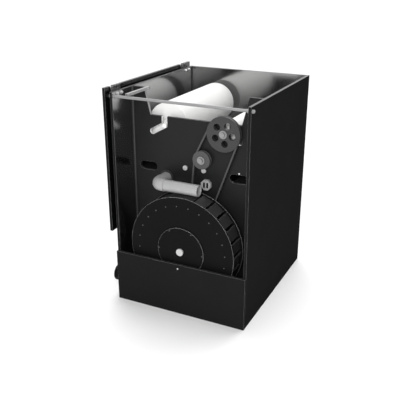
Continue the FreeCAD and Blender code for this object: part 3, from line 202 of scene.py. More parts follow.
def shader_group(name: str, inputs: Sequence[tuple[str, str, object]],
                 outputs: Sequence[tuple[str, str]]) -> tuple[NodeBoard, bpy.types.Node, bpy.types.Node]:
    """Start a shared shader group.

    Args:
        name: Name of the group.
        inputs: Name, socket type and default of each input.
        outputs: Name and socket type of each output.

    Returns:
        The board of the group, its input node and its output node.
    """
    tree = bpy.data.node_groups.new(name, "ShaderNodeTree")
    for label, kind, value in inputs:
        tree.interface.new_socket(name=label, in_out="INPUT", socket_type=kind).default_value = value
    for label, kind in outputs:
        tree.interface.new_socket(name=label, in_out="OUTPUT", socket_type=kind)
    board = NodeBoard(tree)
    return board, board.add("NodeGroupInput"), board.add("NodeGroupOutput")


def edge_wear_and_highlight_group() -> bpy.types.NodeTree:
    """Mask of worn edges, also used for painted highlight along edges, and the normal of edges that are eased by a
    small radius.

    Returns:
        The group's tree.
    """
    board, start, end = shader_group(
        "edge_wear",
        [("Radius", "NodeSocketFloat", 0.001), ("Scale", "NodeSocketFloat", 60.0)],
        [("Mask", "NodeSocketFloat"), ("Normal", "NodeSocketVector")],
    )
    eased = board.add("ShaderNodeBevel", samples=BEVEL_SAMPLES)
    board.join(start.outputs["Radius"], eased.inputs["Radius"])
    flat = board.add("ShaderNodeNewGeometry")
    turn = board.add("ShaderNodeVectorMath", operation="DOT_PRODUCT")
    board.join(eased.outputs["Normal"], turn.inputs[0])
    board.join(flat.outputs["Normal"], turn.inputs[1])
    edge = board.math("SUBTRACT", 1.0, turn.outputs["Value"])
    place = board.add("ShaderNodeTexCoord")
    patches = board.add("ShaderNodeTexNoise")
    board.join(place.outputs["Object"], patches.inputs["Vector"])
    board.join(start.outputs["Scale"], patches.inputs["Scale"])
    wear_and_highlight_mask = board.math("MULTIPLY", edge, board.spread(patches.outputs["Fac"], *WEAR_AND_HIGHLIGHT_GAIN))
    clean = board.add("ShaderNodeClamp")
    board.join(wear_and_highlight_mask, clean.inputs["Value"])
    board.join(clean.outputs["Result"], end.inputs["Mask"])
    board.join(eased.outputs["Normal"], end.inputs["Normal"])
    return board.tree


def grain_group() -> bpy.types.NodeTree:
    """Fine grain as a height, and broad unevenness as a tone.

    Returns:
        The group's tree.
    """
    board, start, end = shader_group(
        "fine_grain",
        [("Stretch", "NodeSocketVector", (1.0, 1.0, 1.0)), ("Scale", "NodeSocketFloat", 400.0),
         ("Broad", "NodeSocketFloat", 6.0)],
        [("Height", "NodeSocketFloat"), ("Tone", "NodeSocketFloat")],
    )
    place = board.add("ShaderNodeTexCoord")
    pulled = board.add("ShaderNodeVectorMath", operation="MULTIPLY")
    board.join(place.outputs["Object"], pulled.inputs[0])
    board.join(start.outputs["Stretch"], pulled.inputs[1])
    fine = board.add("ShaderNodeTexNoise")
    fine.inputs["Detail"].default_value = 3.0
    board.join(pulled.outputs["Vector"], fine.inputs["Vector"])
    board.join(start.outputs["Scale"], fine.inputs["Scale"])
    broad = board.add("ShaderNodeTexNoise")
    broad.inputs["Detail"].default_value = 4.0
    board.join(place.outputs["Object"], broad.inputs["Vector"])
    board.join(start.outputs["Broad"], broad.inputs["Scale"])
    board.join(fine.outputs["Fac"], end.inputs["Height"])
    board.join(broad.outputs["Fac"], end.inputs["Tone"])
    return board.tree


def dust_group() -> bpy.types.NodeTree:
    """Mask of dust that settles on what faces up.

    Returns:
        The group's tree.
    """
    board, start, end = shader_group(
        "settled_dust",
        [("Amount", "NodeSocketFloat", 0.1), ("Scale", "NodeSocketFloat", 30.0)],
        [("Mask", "NodeSocketFloat")],
    )
    flat = board.add("ShaderNodeNewGeometry")
    axes = board.add("ShaderNodeSeparateXYZ")
    board.join(flat.outputs["Normal"], axes.inputs["Vector"])
    facing = board.math("MAXIMUM", axes.outputs["Z"], 0.0)
    place = board.add("ShaderNodeTexCoord")
    specks = board.add("ShaderNodeTexNoise")
    specks.inputs["Detail"].default_value = 6.0
    board.join(place.outputs["Object"], specks.inputs["Vector"])
    board.join(start.outputs["Scale"], specks.inputs["Scale"])
    settled = board.math("MULTIPLY", facing, specks.outputs["Fac"])
    board.join(board.math("MULTIPLY", settled, start.outputs["Amount"]), end.inputs["Mask"])
    return board.tree


EDGE_WEAR_AND_HIGHLIGHT = edge_wear_and_highlight_group()
FINE_GRAIN = grain_group()
SETTLED_DUST = dust_group()


@dataclass(frozen=True)
class Finish:
    """A procedural finish: a colour with grain, worn edges with painted highlight along them, a little dust and
    haze in front of a line.
    """

    name: str
    colour: Colour
    roughness: float
    uneven: float = 0.05
    metallic: float = 0.0
    specular: float = 0.5
    ior: float = 1.5
    sheen: float = 0.0
    edge_radius: float = 0.0008
    # Strength and colour of the lighter edges: partly wear, partly painted highlight
    wear_and_highlight: float = 0.5
    wear_and_highlight_colour: Colour = (0.2, 0.2, 0.2)
    tone: float = 0.12
    grain_scale: float = 500.0
    grain_depth: float = 0.00004
    grain_stretch: Point = (1.0, 1.0, 1.0)
    dust: float = 0.05
    dust_colour: Colour = (0.3, 0.3, 0.29)
    haze: float = 0.0
    haze_line: float = 0.0

    def material(self) -> bpy.types.Material:
        """Build the material once and give it back.

        Returns:
            The material of this finish.
        """
        found = bpy.data.materials.get(self.name)
        if found:
            return found
        material = bpy.data.materials.new(self.name)
        material.use_nodes = True
        board = NodeBoard(material.node_tree)
        surface = material.node_tree.nodes["Principled BSDF"]
        surface.inputs["Metallic"].default_value = self.metallic
        surface.inputs["Specular IOR Level"].default_value = self.specular
        surface.inputs["IOR"].default_value = self.ior
        surface.inputs["Sheen Weight"].default_value = self.sheen
        edges = board.add("ShaderNodeGroup", node_tree=EDGE_WEAR_AND_HIGHLIGHT)
        edges.inputs["Radius"].default_value = self.edge_radius
        grain = board.add("ShaderNodeGroup", node_tree=FINE_GRAIN)
        grain.inputs["Stretch"].default_value = self.grain_stretch
        grain.inputs["Scale"].default_value = self.grain_scale
        dust = board.add("ShaderNodeGroup", node_tree=SETTLED_DUST)
        dust.inputs["Amount"].default_value = self.dust
        darker = (*(c * (1 - self.tone) for c in self.colour), 1.0)
        lighter = (*(min(1.0, c * (1 + self.tone)) for c in self.colour), 1.0)
        base = board.blend(grain.outputs["Tone"], darker, lighter)
        # Lighter edges: partly wear, partly painted highlight where a chamfer would catch light
        wear_and_highlight_mask = board.math("MULTIPLY", edges.outputs["Mask"], self.wear_and_highlight)
        base = board.blend(wear_and_highlight_mask, base, (*self.wear_and_highlight_colour, 1.0))
        base = board.blend(dust.outputs["Mask"], base, (*self.dust_colour, 1.0))
        board.join(base, surface.inputs["Base Color"])
        rough = board.spread(grain.outputs["Tone"], max(0.0, self.roughness - self.uneven),
                             min(1.0, self.roughness + self.uneven))
        if self.haze:
            place = board.add("ShaderNodeSeparateXYZ")
            board.join(board.add("ShaderNodeTexCoord").outputs["Object"], place.inputs["Vector"])
            splashed = board.math("LESS_THAN", place.outputs["Y"], self.haze_line)
            rough = board.math("ADD", rough, board.math("MULTIPLY", splashed, self.haze))
        board.join(rough, surface.inputs["Roughness"])
        bump = board.add("ShaderNodeBump")
        bump.inputs["Distance"].default_value = self.grain_depth
        board.join(grain.outputs["Height"], bump.inputs["Height"])
        board.join(edges.outputs["Normal"], bump.inputs["Normal"])
        board.join(bump.outputs["Normal"], surface.inputs["Normal"])
        return material


# Eased edge of the sheets, and the light colour of wear and painted highlight along it
SHEET_EDGE = 0.0018
SHEET_WEAR_AND_HIGHLIGHT = (0.34, 0.34, 0.34)

FINISHES: dict[Slot, Finish] = {
    Slot.SHEET: Finish("gloss_black_sheet", (0.007, 0.007, 0.0073), 0.12, uneven=0.03, ior=4.0,
                       edge_radius=SHEET_EDGE, wear_and_highlight=0.9, wear_and_highlight_colour=SHEET_WEAR_AND_HIGHLIGHT, haze=0.06,
                       haze_line=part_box("divider_panel")[0].y),
    Slot.SATIN: Finish("satin_black_sheet", (0.015, 0.015, 0.0155), 0.4, specular=0.0,
                       edge_radius=SHEET_EDGE, wear_and_highlight=0.9, wear_and_highlight_colour=SHEET_WEAR_AND_HIGHLIGHT),
    Slot.DIVIDER: Finish("divider_black_sheet", (0.011, 0.011, 0.0115), 0.42, specular=0.16,
                         edge_radius=SHEET_EDGE, wear_and_highlight=0.9, wear_and_highlight_colour=SHEET_WEAR_AND_HIGHLIGHT),
    Slot.WELD: Finish("welded_bead", (0.03, 0.03, 0.031), 0.3, wear_and_highlight=0.3),
    # The light edge colour of the wheel paints highlight on its disc and hub plate rims, with some wear
    Slot.WHEEL: Finish("wheel_black_sheet", (0.008, 0.008, 0.0083), 0.4, specular=0.02, edge_radius=0.0026,
                       wear_and_highlight=1.0, wear_and_highlight_colour=(0.6, 0.6, 0.6)),
    Slot.GREY_PIPE: Finish("grey_waste_pipe", (0.36, 0.36, 0.364), 0.36, wear_and_highlight_colour=(0.45, 0.45, 0.45)),
    Slot.BLACK_PIPE: Finish("black_pipe_plastic", (0.005, 0.005, 0.0052), 0.4, specular=0.04, wear_and_highlight=0.1,
                            dust=0.0),
    Slot.PULLEY: Finish("dark_pulley_plastic", (0.04, 0.04, 0.041), 0.4, specular=0.3, wear_and_highlight=0.8),
    Slot.ROLLER: Finish("grey_roller_plastic", (0.068, 0.068, 0.07), 0.4, specular=0.3,
                        wear_and_highlight_colour=(0.3, 0.3, 0.3)),
    Slot.BELT: Finish("belt_rubber_black", (0.05, 0.05, 0.052), 0.62, grain_depth=0.0001,
                      wear_and_highlight_colour=(0.1, 0.1, 0.1)),
    Slot.SEAL: Finish("seal_rubber_black", (0.015, 0.015, 0.015), 0.6, wear_and_highlight=0.2),
    Slot.STEEL: Finish("bright_fasteners", (0.66, 0.66, 0.67), 0.3, metallic=1.0, edge_radius=0.0005,
                       wear_and_highlight_colour=(0.8, 0.8, 0.8)),
    Slot.SCREW: Finish("dull_screws", (0.1, 0.1, 0.1), 0.5, metallic=0.5, edge_radius=0.0004,
                       wear_and_highlight_colour=(0.16, 0.16, 0.16)),
    Slot.ROD: Finish("grey_tie_rod", (0.25, 0.25, 0.253), 0.45, metallic=0.3, edge_radius=0.0005,
                     wear_and_highlight_colour=(0.45, 0.45, 0.45), grain_stretch=(0.05, 1.0, 1.0)),
    Slot.WHITE: Finish("white_axle_plastic", (0.84, 0.84, 0.835), 0.5, wear_and_highlight=0.0),
    Slot.BAR: Finish("light_square_tube", (0.33, 0.33, 0.33), 0.4, metallic=0.2,
                     wear_and_highlight_colour=(0.5, 0.5, 0.5)),
    # The light edge colour of the hinge paints highlight on its knuckles and outlines
    Slot.HINGE: Finish("hinge_gloss_black", (0.06, 0.06, 0.061), 0.22, edge_radius=0.0014, wear_and_highlight=1.0,
                       wear_and_highlight_colour=(0.6, 0.6, 0.6)),
    Slot.FLEECE: Finish("white_filter_fleece", (0.9, 0.9, 0.89), 0.92, specular=0.2, sheen=0.25, wear_and_highlight=0.0,
                        tone=0.03, grain_scale=900.0, grain_depth=0.0006, dust=0.0),
    Slot.CORE: Finish("core_tube_board", (0.84, 0.84, 0.83), 0.8, wear_and_highlight=0.0),
}

# Faces and pieces that look different from the rest of their slot
CUT_EDGE = Finish("cut_sheet_edge", (0.02, 0.02, 0.0205), 0.3, edge_radius=SHEET_EDGE, wear_and_highlight=0.9,
                  wear_and_highlight_colour=SHEET_WEAR_AND_HIGHLIGHT)
LID_GLOSS = Finish("gloss_black_lid", (0.003, 0.003, 0.0032), 0.18, edge_radius=SHEET_EDGE, wear_and_highlight=0.8,
                   wear_and_highlight_colour=SHEET_WEAR_AND_HIGHLIGHT)
# Painted highlight on the slanted edge of the divider's notch
NOTCH_HIGHLIGHT = Finish("bright_notch_edge", (0.3, 0.3, 0.3), 0.3, wear_and_highlight=0.0)
# Painted light: the sides of the axle slots in the black divider are painted near white
SLOT_LIGHT = Finish("white_slot_edge", (0.8, 0.8, 0.795), 0.5, wear_and_highlight=0.0)
# Painted shade in the grip pockets of the port plug
POCKET_SHADE = Finish("dark_pocket", (0.01, 0.01, 0.01), 0.8, specular=0.05, wear_and_highlight=0.0)
# Painted shade: the screen trough and its rails are made darker and dull
SHADED = Finish("dull_black_sheet", (0.003, 0.003, 0.003), 0.6, specular=0.0, wear_and_highlight=0.3)
OWN_FINISH: dict[str, Finish] = {
    "wheel_paddles": Finish("paddle_black_sheet", (0.04, 0.04, 0.041), 0.32, edge_radius=0.002, wear_and_highlight=0.9,
                            wear_and_highlight_colour=(0.4, 0.4, 0.4)),
    "axle_cap": Finish("grey_white_cap", (0.52, 0.52, 0.515), 0.4, wear_and_highlight_colour=(0.75, 0.75, 0.75)),
    "panel_bolts": Finish("domed_bolts", (0.55, 0.55, 0.555), 0.35, metallic=0.6,
                          wear_and_highlight_colour=(0.7, 0.7, 0.7)),
    "box_screws": FINISHES[Slot.STEEL],
    "screen_trough": SHADED,
    "screen_rails": SHADED,
    "axle_rests": FINISHES[Slot.SATIN],
}
# Sheets whose upper cut edge shows
EDGED_SHEETS = ("left_wall", "right_wall", "back_wall", "front_panel", "lid")
# The one side of a sheet that is polished
POLISHED_SIDE: dict[str, Vector] = {
    "left_wall": Vector((1.0, 0.0, 0.0)),
    "back_wall": Vector((0.0, -1.0, 0.0)),
}


def geometry_tree(name: str, inputs: Sequence[tuple[str, str]]) -> tuple[NodeBoard, bpy.types.Node]:
    """Start a geometry tree with named inputs.

    Args:
        name: Name of the tree.
        inputs: Name and socket type of each input after the geometry itself.

    Returns:
        The tree's board and its input node.
    """
    tree = bpy.data.node_groups.new(name, "GeometryNodeTree")
    tree.interface.new_socket(name="Geometry", in_out="INPUT", socket_type="NodeSocketGeometry")
    for label, kind in (*inputs, ("Material", "NodeSocketMaterial")):
        tree.interface.new_socket(name=label, in_out="INPUT", socket_type=kind)
    tree.interface.new_socket(name="Geometry", in_out="OUTPUT", socket_type="NodeSocketGeometry")
    board = NodeBoard(tree)
    return board, board.add("NodeGroupInput")


def end_tree(board: NodeBoard, start: bpy.types.Node, shape: bpy.types.NodeSocket) -> bpy.types.NodeTree:
    """Close a geometry tree: make instances real and set the material.

    Args:
        board: The tree's board.
        start: Its input node.
        shape: The finished geometry.

    Returns:
        The tree.
    """
    real = board.add("GeometryNodeRealizeInstances")
    board.join(shape, real.inputs["Geometry"])
    painted = board.add("GeometryNodeSetMaterial")
    board.join(real.outputs["Geometry"], painted.inputs["Geometry"])
    board.join(start.outputs["Material"], painted.inputs["Material"])
    board.join(painted.outputs["Geometry"], board.add("NodeGroupOutput").inputs["Geometry"])
    return board.tree


def smooth(mesh: bpy.types.Mesh, degrees: float = SHARP_ANGLE) -> None:
    """Shade a mesh smooth, apart from its sharp edges."""
    mesh.shade_smooth()
    mesh.set_sharp_from_angle(angle=math.radians(degrees))


def new_piece(name: str, mesh: bpy.types.Mesh) -> bpy.types.Object:
    """Link a mesh into the scene as a piece at the origin.

    Args:
        name: Name of the piece.
        mesh: Its mesh.

    Returns:
        The new piece.
    """
    piece = bpy.data.objects.new(name, mesh)
    bpy.context.scene.collection.objects.link(piece)
    return piece


def grow(name: str, tree: bpy.types.NodeTree, values: dict[str, object], finish: Finish,
         points: Sequence[Point] = ()) -> bpy.types.Object:
    """Run a geometry tree once and keep its result as a plain mesh.

    Args:
        name: Name of the piece.
        tree: The geometry tree.
        values: Value of each named input.
        finish: Finish that the tree sets.
        points: Points that the tree starts from.

    Returns:
        The new piece.
    """
    seed = bpy.data.meshes.new(name + "_points")
    seed.from_pydata(list(points), [], [])
    piece = new_piece(name, seed)
    modifier = piece.modifiers.new("grow", "NODES")
    modifier.node_group = tree
    wanted = {**values, "Material": finish.material()}
    for socket in tree.interface.items_tree:
        if socket.item_type == "SOCKET" and socket.in_out == "INPUT" and socket.name in wanted:
            modifier[socket.identifier] = wanted[socket.name]
    graph = bpy.context.evaluated_depsgraph_get()
    mesh = bpy.data.meshes.new_from_object(piece.evaluated_get(graph), depsgraph=graph)
    piece.modifiers.remove(modifier)
    piece.data = mesh
    smooth(mesh)
    return piece


def keep(piece: bpy.types.Object, body: Body, slot: Slot, *nodes: str) -> bpy.types.Object:
    """Let a piece ride on a body and stand for solids.

    Args:
        piece: The finished piece.
        body: The body it moves with.
        slot: The record's slot of its finish; not used.
        nodes: The solids that it stands for.

    Returns:
        The piece.
    """
    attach(piece, body.value)
    if nodes:
        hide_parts(*nodes)
    log.info("%s rides on %s: %d faces", piece.name, body.value, len(piece.data.polygons))
    return piece


def joint_axis(name: str) -> Vector:
    """Point on the axis of a joint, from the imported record."""
    return Vector(next(joint["pos_m"] for joint in frame["joints"] if joint["name"] == name))


def clean(length: float) -> float:
    """Take the single-precision noise off a length of the frame."""
    return round(length, CLEAN_DIGITS)


def round_radius(node: str, joint: str) -> float:
    """Radius of a round solid about the axis of its joint."""
    return clean(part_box(node)[1].x - joint_axis(joint).x)


def wound_fleece_tree() -> bpy.types.NodeTree:
    """Tree of a long sheet that is wound into a roll about the Y axis.

    Returns:
        The tree.
    """
    board, start = geometry_tree("wound_fleece", [
        ("Turns", "NodeSocketFloat"), ("Inner Radius", "NodeSocketFloat"),
        ("Outer Radius", "NodeSocketFloat"), ("Width", "NodeSocketFloat"), ("Thickness", "NodeSocketFloat"),
        ("End Angle", "NodeSocketFloat"), ("Place", "NodeSocketVector"), ("Ripple", "NodeSocketFloat"),
    ])
    spiral = board.add("GeometryNodeCurveSpiral")
    spiral.inputs["Resolution"].default_value = SPIRAL_STEPS
    spiral.inputs["Height"].default_value = 0.0
    spiral.inputs["Reverse"].default_value = True
    board.join(start.outputs["Turns"], spiral.inputs["Rotations"])
    board.join(start.outputs["Inner Radius"], spiral.inputs["Start Radius"])
    board.join(start.outputs["Outer Radius"], spiral.inputs["End Radius"])
    uneven = board.add("ShaderNodeTexNoise")
    uneven.inputs["Scale"].default_value = RIPPLE_SCALE
    shift = board.add("ShaderNodeVectorMath", operation="SUBTRACT")
    board.join(uneven.outputs["Color"], shift.inputs[0])
    shift.inputs[1].default_value = RIPPLE_MIDDLE
    sized = board.add("ShaderNodeVectorMath", operation="SCALE")
    board.join(shift.outputs["Vector"], sized.inputs[0])
    board.join(start.outputs["Ripple"], sized.inputs["Scale"])
    moved = board.add("GeometryNodeSetPosition")
    board.join(spiral.outputs["Curve"], moved.inputs["Geometry"])
    board.join(sized.outputs["Vector"], moved.inputs["Offset"])
    upright = board.add("GeometryNodeSetCurveNormal")
    upright.mode = "Z_UP"
    board.join(moved.outputs["Geometry"], upright.inputs["Curve"])
    section = board.add("GeometryNodeCurvePrimitiveQuadrilateral")
    board.join(start.outputs["Thickness"], section.inputs["Width"])
    board.join(start.outputs["Width"], section.inputs["Height"])
    sheet = board.add("GeometryNodeCurveToMesh")
    board.join(upright.outputs["Curve"], sheet.inputs["Curve"])
    board.join(section.outputs["Curve"], sheet.inputs["Profile Curve"])
    sheet.inputs["Fill Caps"].default_value = True
    spun = board.add("GeometryNodeTransform")
    board.join(sheet.outputs["Mesh"], spun.inputs["Geometry"])
    turn = board.add("ShaderNodeCombineXYZ")
    board.join(start.outputs["End Angle"], turn.inputs["Z"])
    board.join(turn.outputs["Vector"], spun.inputs["Rotation"])
    placed = board.add("GeometryNodeTransform")
    board.join(spun.outputs["Geometry"], placed.inputs["Geometry"])
    placed.inputs["Rotation"].default_value = Euler((math.pi / 2, 0.0, 0.0))
    board.join(start.outputs["Place"], placed.inputs["Translation"])
    return end_tree(board, start, placed.outputs["Geometry"])


def weld_bead_tree() -> bpy.types.NodeTree:
    """Tree of rippled upright weld beads that stand on points.

    Returns:
        The tree.
    """
    board, start = geometry_tree("weld_bead", [
        ("Height", "NodeSocketFloat"), ("Radius", "NodeSocketFloat"), ("Pitch", "NodeSocketFloat"),
        ("Ripple", "NodeSocketFloat"),
    ])
    top = board.add("ShaderNodeCombineXYZ")
    board.join(start.outputs["Height"], top.inputs["Z"])
    line = board.add("GeometryNodeCurvePrimitiveLine")
    board.join(top.outputs["Vector"], line.inputs["End"])
    fine = board.add("GeometryNodeResampleCurve")
    fine.mode = "LENGTH"
    board.join(line.outputs["Curve"], fine.inputs["Curve"])
    board.join(board.math("DIVIDE", start.outputs["Pitch"], BEAD_STEPS), fine.inputs["Length"])
    count = board.add("GeometryNodeInputIndex")
    wave = board.math("SINE", board.math("MULTIPLY", count.outputs["Index"], 2 * math.pi / BEAD_STEPS))
    swell = board.math("ADD", 1.0, board.math("MULTIPLY", wave, start.outputs["Ripple"]))
    section = board.add("GeometryNodeCurvePrimitiveCircle")
    section.inputs["Resolution"].default_value = BEAD_SIDES
    board.join(start.outputs["Radius"], section.inputs["Radius"])
    bead = board.add("GeometryNodeCurveToMesh")
    board.join(fine.outputs["Curve"], bead.inputs["Curve"])
    board.join(section.outputs["Curve"], bead.inputs["Profile Curve"])
    bead.inputs["Fill Caps"].default_value = True
    board.join(swell, bead.inputs["Scale"])
    stood = board.add("GeometryNodeInstanceOnPoints")
    board.join(start.outputs["Geometry"], stood.inputs["Points"])
    board.join(bead.outputs["Mesh"], stood.inputs["Instance"])
    return end_tree(board, start, stood.outputs["Instances"])


def screw_head_tree() -> bpy.types.NodeTree:
    """Tree that sets one screw head on every point, turned at random about its own axis.

    Returns:
        The tree.
    """
    board, start = geometry_tree("screw_heads", [
        ("Head", "NodeSocketObject"), ("Facing", "NodeSocketVector"), ("Seed", "NodeSocketInt"),
    ])
    head = board.add("GeometryNodeObjectInfo")
    board.join(start.outputs["Head"], head.inputs["Object"])
    spin = board.add("FunctionNodeRandomValue", data_type="FLOAT")
    spin.inputs["Max"].default_value = math.pi / 2
    board.join(start.outputs["Seed"], spin.inputs["Seed"])
    axis = board.add("ShaderNodeCombineXYZ")
    angle = next(item for item in spin.outputs if item.type == "VALUE" and item.enabled)
    board.join(angle, axis.inputs["Z"])
    stood = board.add("GeometryNodeInstanceOnPoints")
    board.join(start.outputs["Geometry"], stood.inputs["Points"])
    board.join(head.outputs["Geometry"], stood.inputs["Instance"])
    board.join(start.outputs["Facing"], stood.inputs["Rotation"])
    turned = board.add("GeometryNodeRotateInstances")
    turned.inputs["Local Space"].default_value = True
    board.join(stood.outputs["Instances"], turned.inputs["Instances"])
    board.join(axis.outputs["Vector"], turned.inputs["Rotation"])
    return end_tree(board, start, turned.outputs["Instances"])


@dataclass
class FleeceRoll:
    """Fleece that is wound on a core and turns with its axle."""

    name: str
    node: str
    core: str
    body: Body
    joint: str
    layer: float = FLEECE_THICKNESS
    air: float = 0.0001
    lost_turns: float = 0.5
    ripple: float = 0.0003

    def radius(self) -> float:
        """Outer radius of the wound fleece."""
        return round_radius(self.node, self.joint)

    def build(self, tree: bpy.types.NodeTree, end: Vector) -> bpy.types.Object:
        """Wind the roll.

        Args:
            tree: The tree of wound fleece.
            end: Point where the fleece leaves or meets the roll.

        Returns:
            The roll.
        """
        axis = joint_axis(self.joint)
        away = end - axis
        low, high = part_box(self.node)
        inner, outer = round_radius(self.core, self.joint), self.radius()
        turns = (outer - inner) / self.layer - self.lost_turns
        return grow(self.name, tree, {
            "Turns": turns,
            "Inner Radius": inner + self.layer / 2,
            "Outer Radius": outer - self.layer / 2,
            "Width": clean(high.y - low.y),
            "Thickness": self.layer - self.air,
            "End Angle": math.atan2(away.z, away.x) - 2 * math.pi * (turns % 1.0),
            "Place": (axis.x, clean((low.y + high.y) / 2), axis.z),
            "Ripple": self.ripple,
        }, FINISHES[Slot.FLEECE])

    def dress(self, tree: bpy.types.NodeTree, end: Vector) -> None:
        """Build the roll and let it stand for its solid."""
        keep(self.build(tree, end), self.body, Slot.FLEECE, self.node)


@dataclass
class FleeceWeb:
    """Fleece that runs from the supply roll round the screen trough to the take-up roll."""

    supply: FleeceRoll
    takeup: FleeceRoll
    thickness: float = FLEECE_THICKNESS
    gap: float = 0.0003
    screen_sheet: float = 0.003
    bend_steps: int = 72
    free_steps: int = 12
    wall_steps: int = 5
    columns: int = 40
    crease_angle: float = 60.0
    front: float = field(init=False)
    width: float = field(init=False)
    screen_middle: float = field(init=False)
    screen_radius: float = field(init=False)
    screen_level: float = field(init=False)
    screen_top: float = field(init=False)

    def __post_init__(self) -> None:
        """Take the fleece's width and the shape of the trough from the frame."""
        near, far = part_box("fleece_web")
        self.front = clean(near.y)
        self.width = clean(far.y - near.y)
        low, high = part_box("screen_trough")
        outer = clean((high.x - low.x) / 2)
        self.screen_middle = clean((low.x + high.x) / 2)
        self.screen_radius = outer - self.screen_sheet
        self.screen_level = clean(low.z) + outer
        self.screen_top = clean(high.z)

    def touch(self, start: Vector, centre: Vector, radius: float) -> Vector:
        """Point where a straight run touches a circle that lies on its right.

        Args:
            start: Start of the run.
            centre: Centre of the circle.
            radius: Radius of the circle.

        Returns:
            The point of contact.
        """
        away = centre - start
        heading = math.atan2(away.z, away.x) + math.asin(radius / away.length)
        run = math.sqrt(away.length ** 2 - radius ** 2)
        return start + Vector((run * math.cos(heading), 0.0, run * math.sin(heading)))

    def ends(self) -> tuple[Vector, Vector]:
        """Find where the fleece leaves the supply roll and meets the take-up roll.

        Returns:
            The two points.
        """
        reach = self.gap + self.thickness / 2
        left_top, right_top = self.wall(-1, self.screen_top), self.wall(1, self.screen_top)
        leave = self.touch(left_top, joint_axis(self.supply.joint), self.supply.radius() + reach)
        meet = self.touch(right_top, joint_axis(self.takeup.joint), self.takeup.radius() + reach)
        return leave, meet

    def wall(self, side: int, level: float) -> Vector:
        """Point of the fleece on a side wall of the trough.

        Args:
            side: -1 for the left wall, 1 for the right one.
            level: Height of the point.

        Returns:
            The point.
        """
        radius = self.screen_radius - self.gap - self.thickness / 2
        return Vector((self.screen_middle + side * radius, 0.0, level))

    def path(self) -> list[Vector]:
        """Middle line of the fleece, from the supply roll to the take-up roll.

        Returns:
            The points of the line.
        """
        first, last = self.ends()
        left_top, right_top = self.wall(-1, self.screen_top), self.wall(1, self.screen_top)
        left_low, right_low = self.wall(-1, self.screen_level), self.wall(1, self.screen_level)
        radius = (right_low.x - left_low.x) / 2
        free, wall = self.free_steps, self.wall_steps
        points = [first.lerp(left_top, k / free) for k in range(free)]
        points += [left_top.lerp(left_low, k / wall) for k in range(wall)]
        for k in range(self.bend_steps + 1):
            turn = math.pi * k / self.bend_steps
            points.append(Vector((self.screen_middle - radius * math.cos(turn), 0.0,
                                  self.screen_level - radius * math.sin(turn))))
        points += [right_low.lerp(right_top, k / wall) for k in range(1, wall)]
        points += [right_top.lerp(last, k / free) for k in range(free + 1)]
        return points

    def build(self) -> bpy.types.Object:
        """Lay the sheet along its path.

        Returns:
            The sheet.
        """
        path = self.path()
        vertices = []
        for point in path:
            for column in range(self.columns + 1):
                vertices.append((point.x, self.front + self.width * column / self.columns, point.z))
        row = self.columns + 1
        faces = []
        for k in range(len(path) - 1):
            for column in range(self.columns):
                first = k * row + column
                faces.append((first, first + 1, first + row + 1, first + row))
        mesh = bpy.data.meshes.new("fleece_sheet")
        mesh.from_pydata(vertices, [], faces)
        mesh.materials.append(FINISHES[Slot.FLEECE].material())
        piece = new_piece("fleece_sheet", mesh)
        solid = piece.modifiers.new("thickness", "SOLIDIFY")
        solid.thickness = self.thickness
        solid.offset = 0.0
        smooth(mesh, self.crease_angle)
        return piece

    def dress(self) -> None:
        """Build the sheet and let it stand for its solid."""
        piece = keep(self.build(), Body.BOX, Slot.FLEECE, "fleece_web")
        path = self.path()


@dataclass
class WeldSeams:
    """Extruded weld beads in the upright inner corners of the box."""

    radius: float = 0.0042
    pitch: float = 0.009
    ripple: float = 0.12
    sunk: float = 0.35
    top_gap: float = 0.001

    def corners(self) -> list[Point]:
        """Foot of each bead, in the corners where the solids stand.

        Returns:
            The points.
        """
        low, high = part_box("corner_welds")
        front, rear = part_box("divider_panel")
        inset = self.radius * self.sunk
        points = []
        for side, x in ((1, low.x), (-1, high.x)):
            for way, y in ((-1, front.y), (1, rear.y), (-1, high.y)):
                points.append((x + side * inset, y + way * inset, low.z))
        return points

    def dress(self) -> None:
        """Build the beads and let them stand for the plain ones."""
        low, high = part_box("corner_welds")
        piece = grow("weld_seams", weld_bead_tree(), {
            "Height": high.z - low.z - self.top_gap, "Radius": self.radius,
            "Pitch": self.pitch, "Ripple": self.ripple,
        }, FINISHES[Slot.WELD], self.corners())
        keep(piece, Body.BOX, Slot.WELD, "corner_welds")


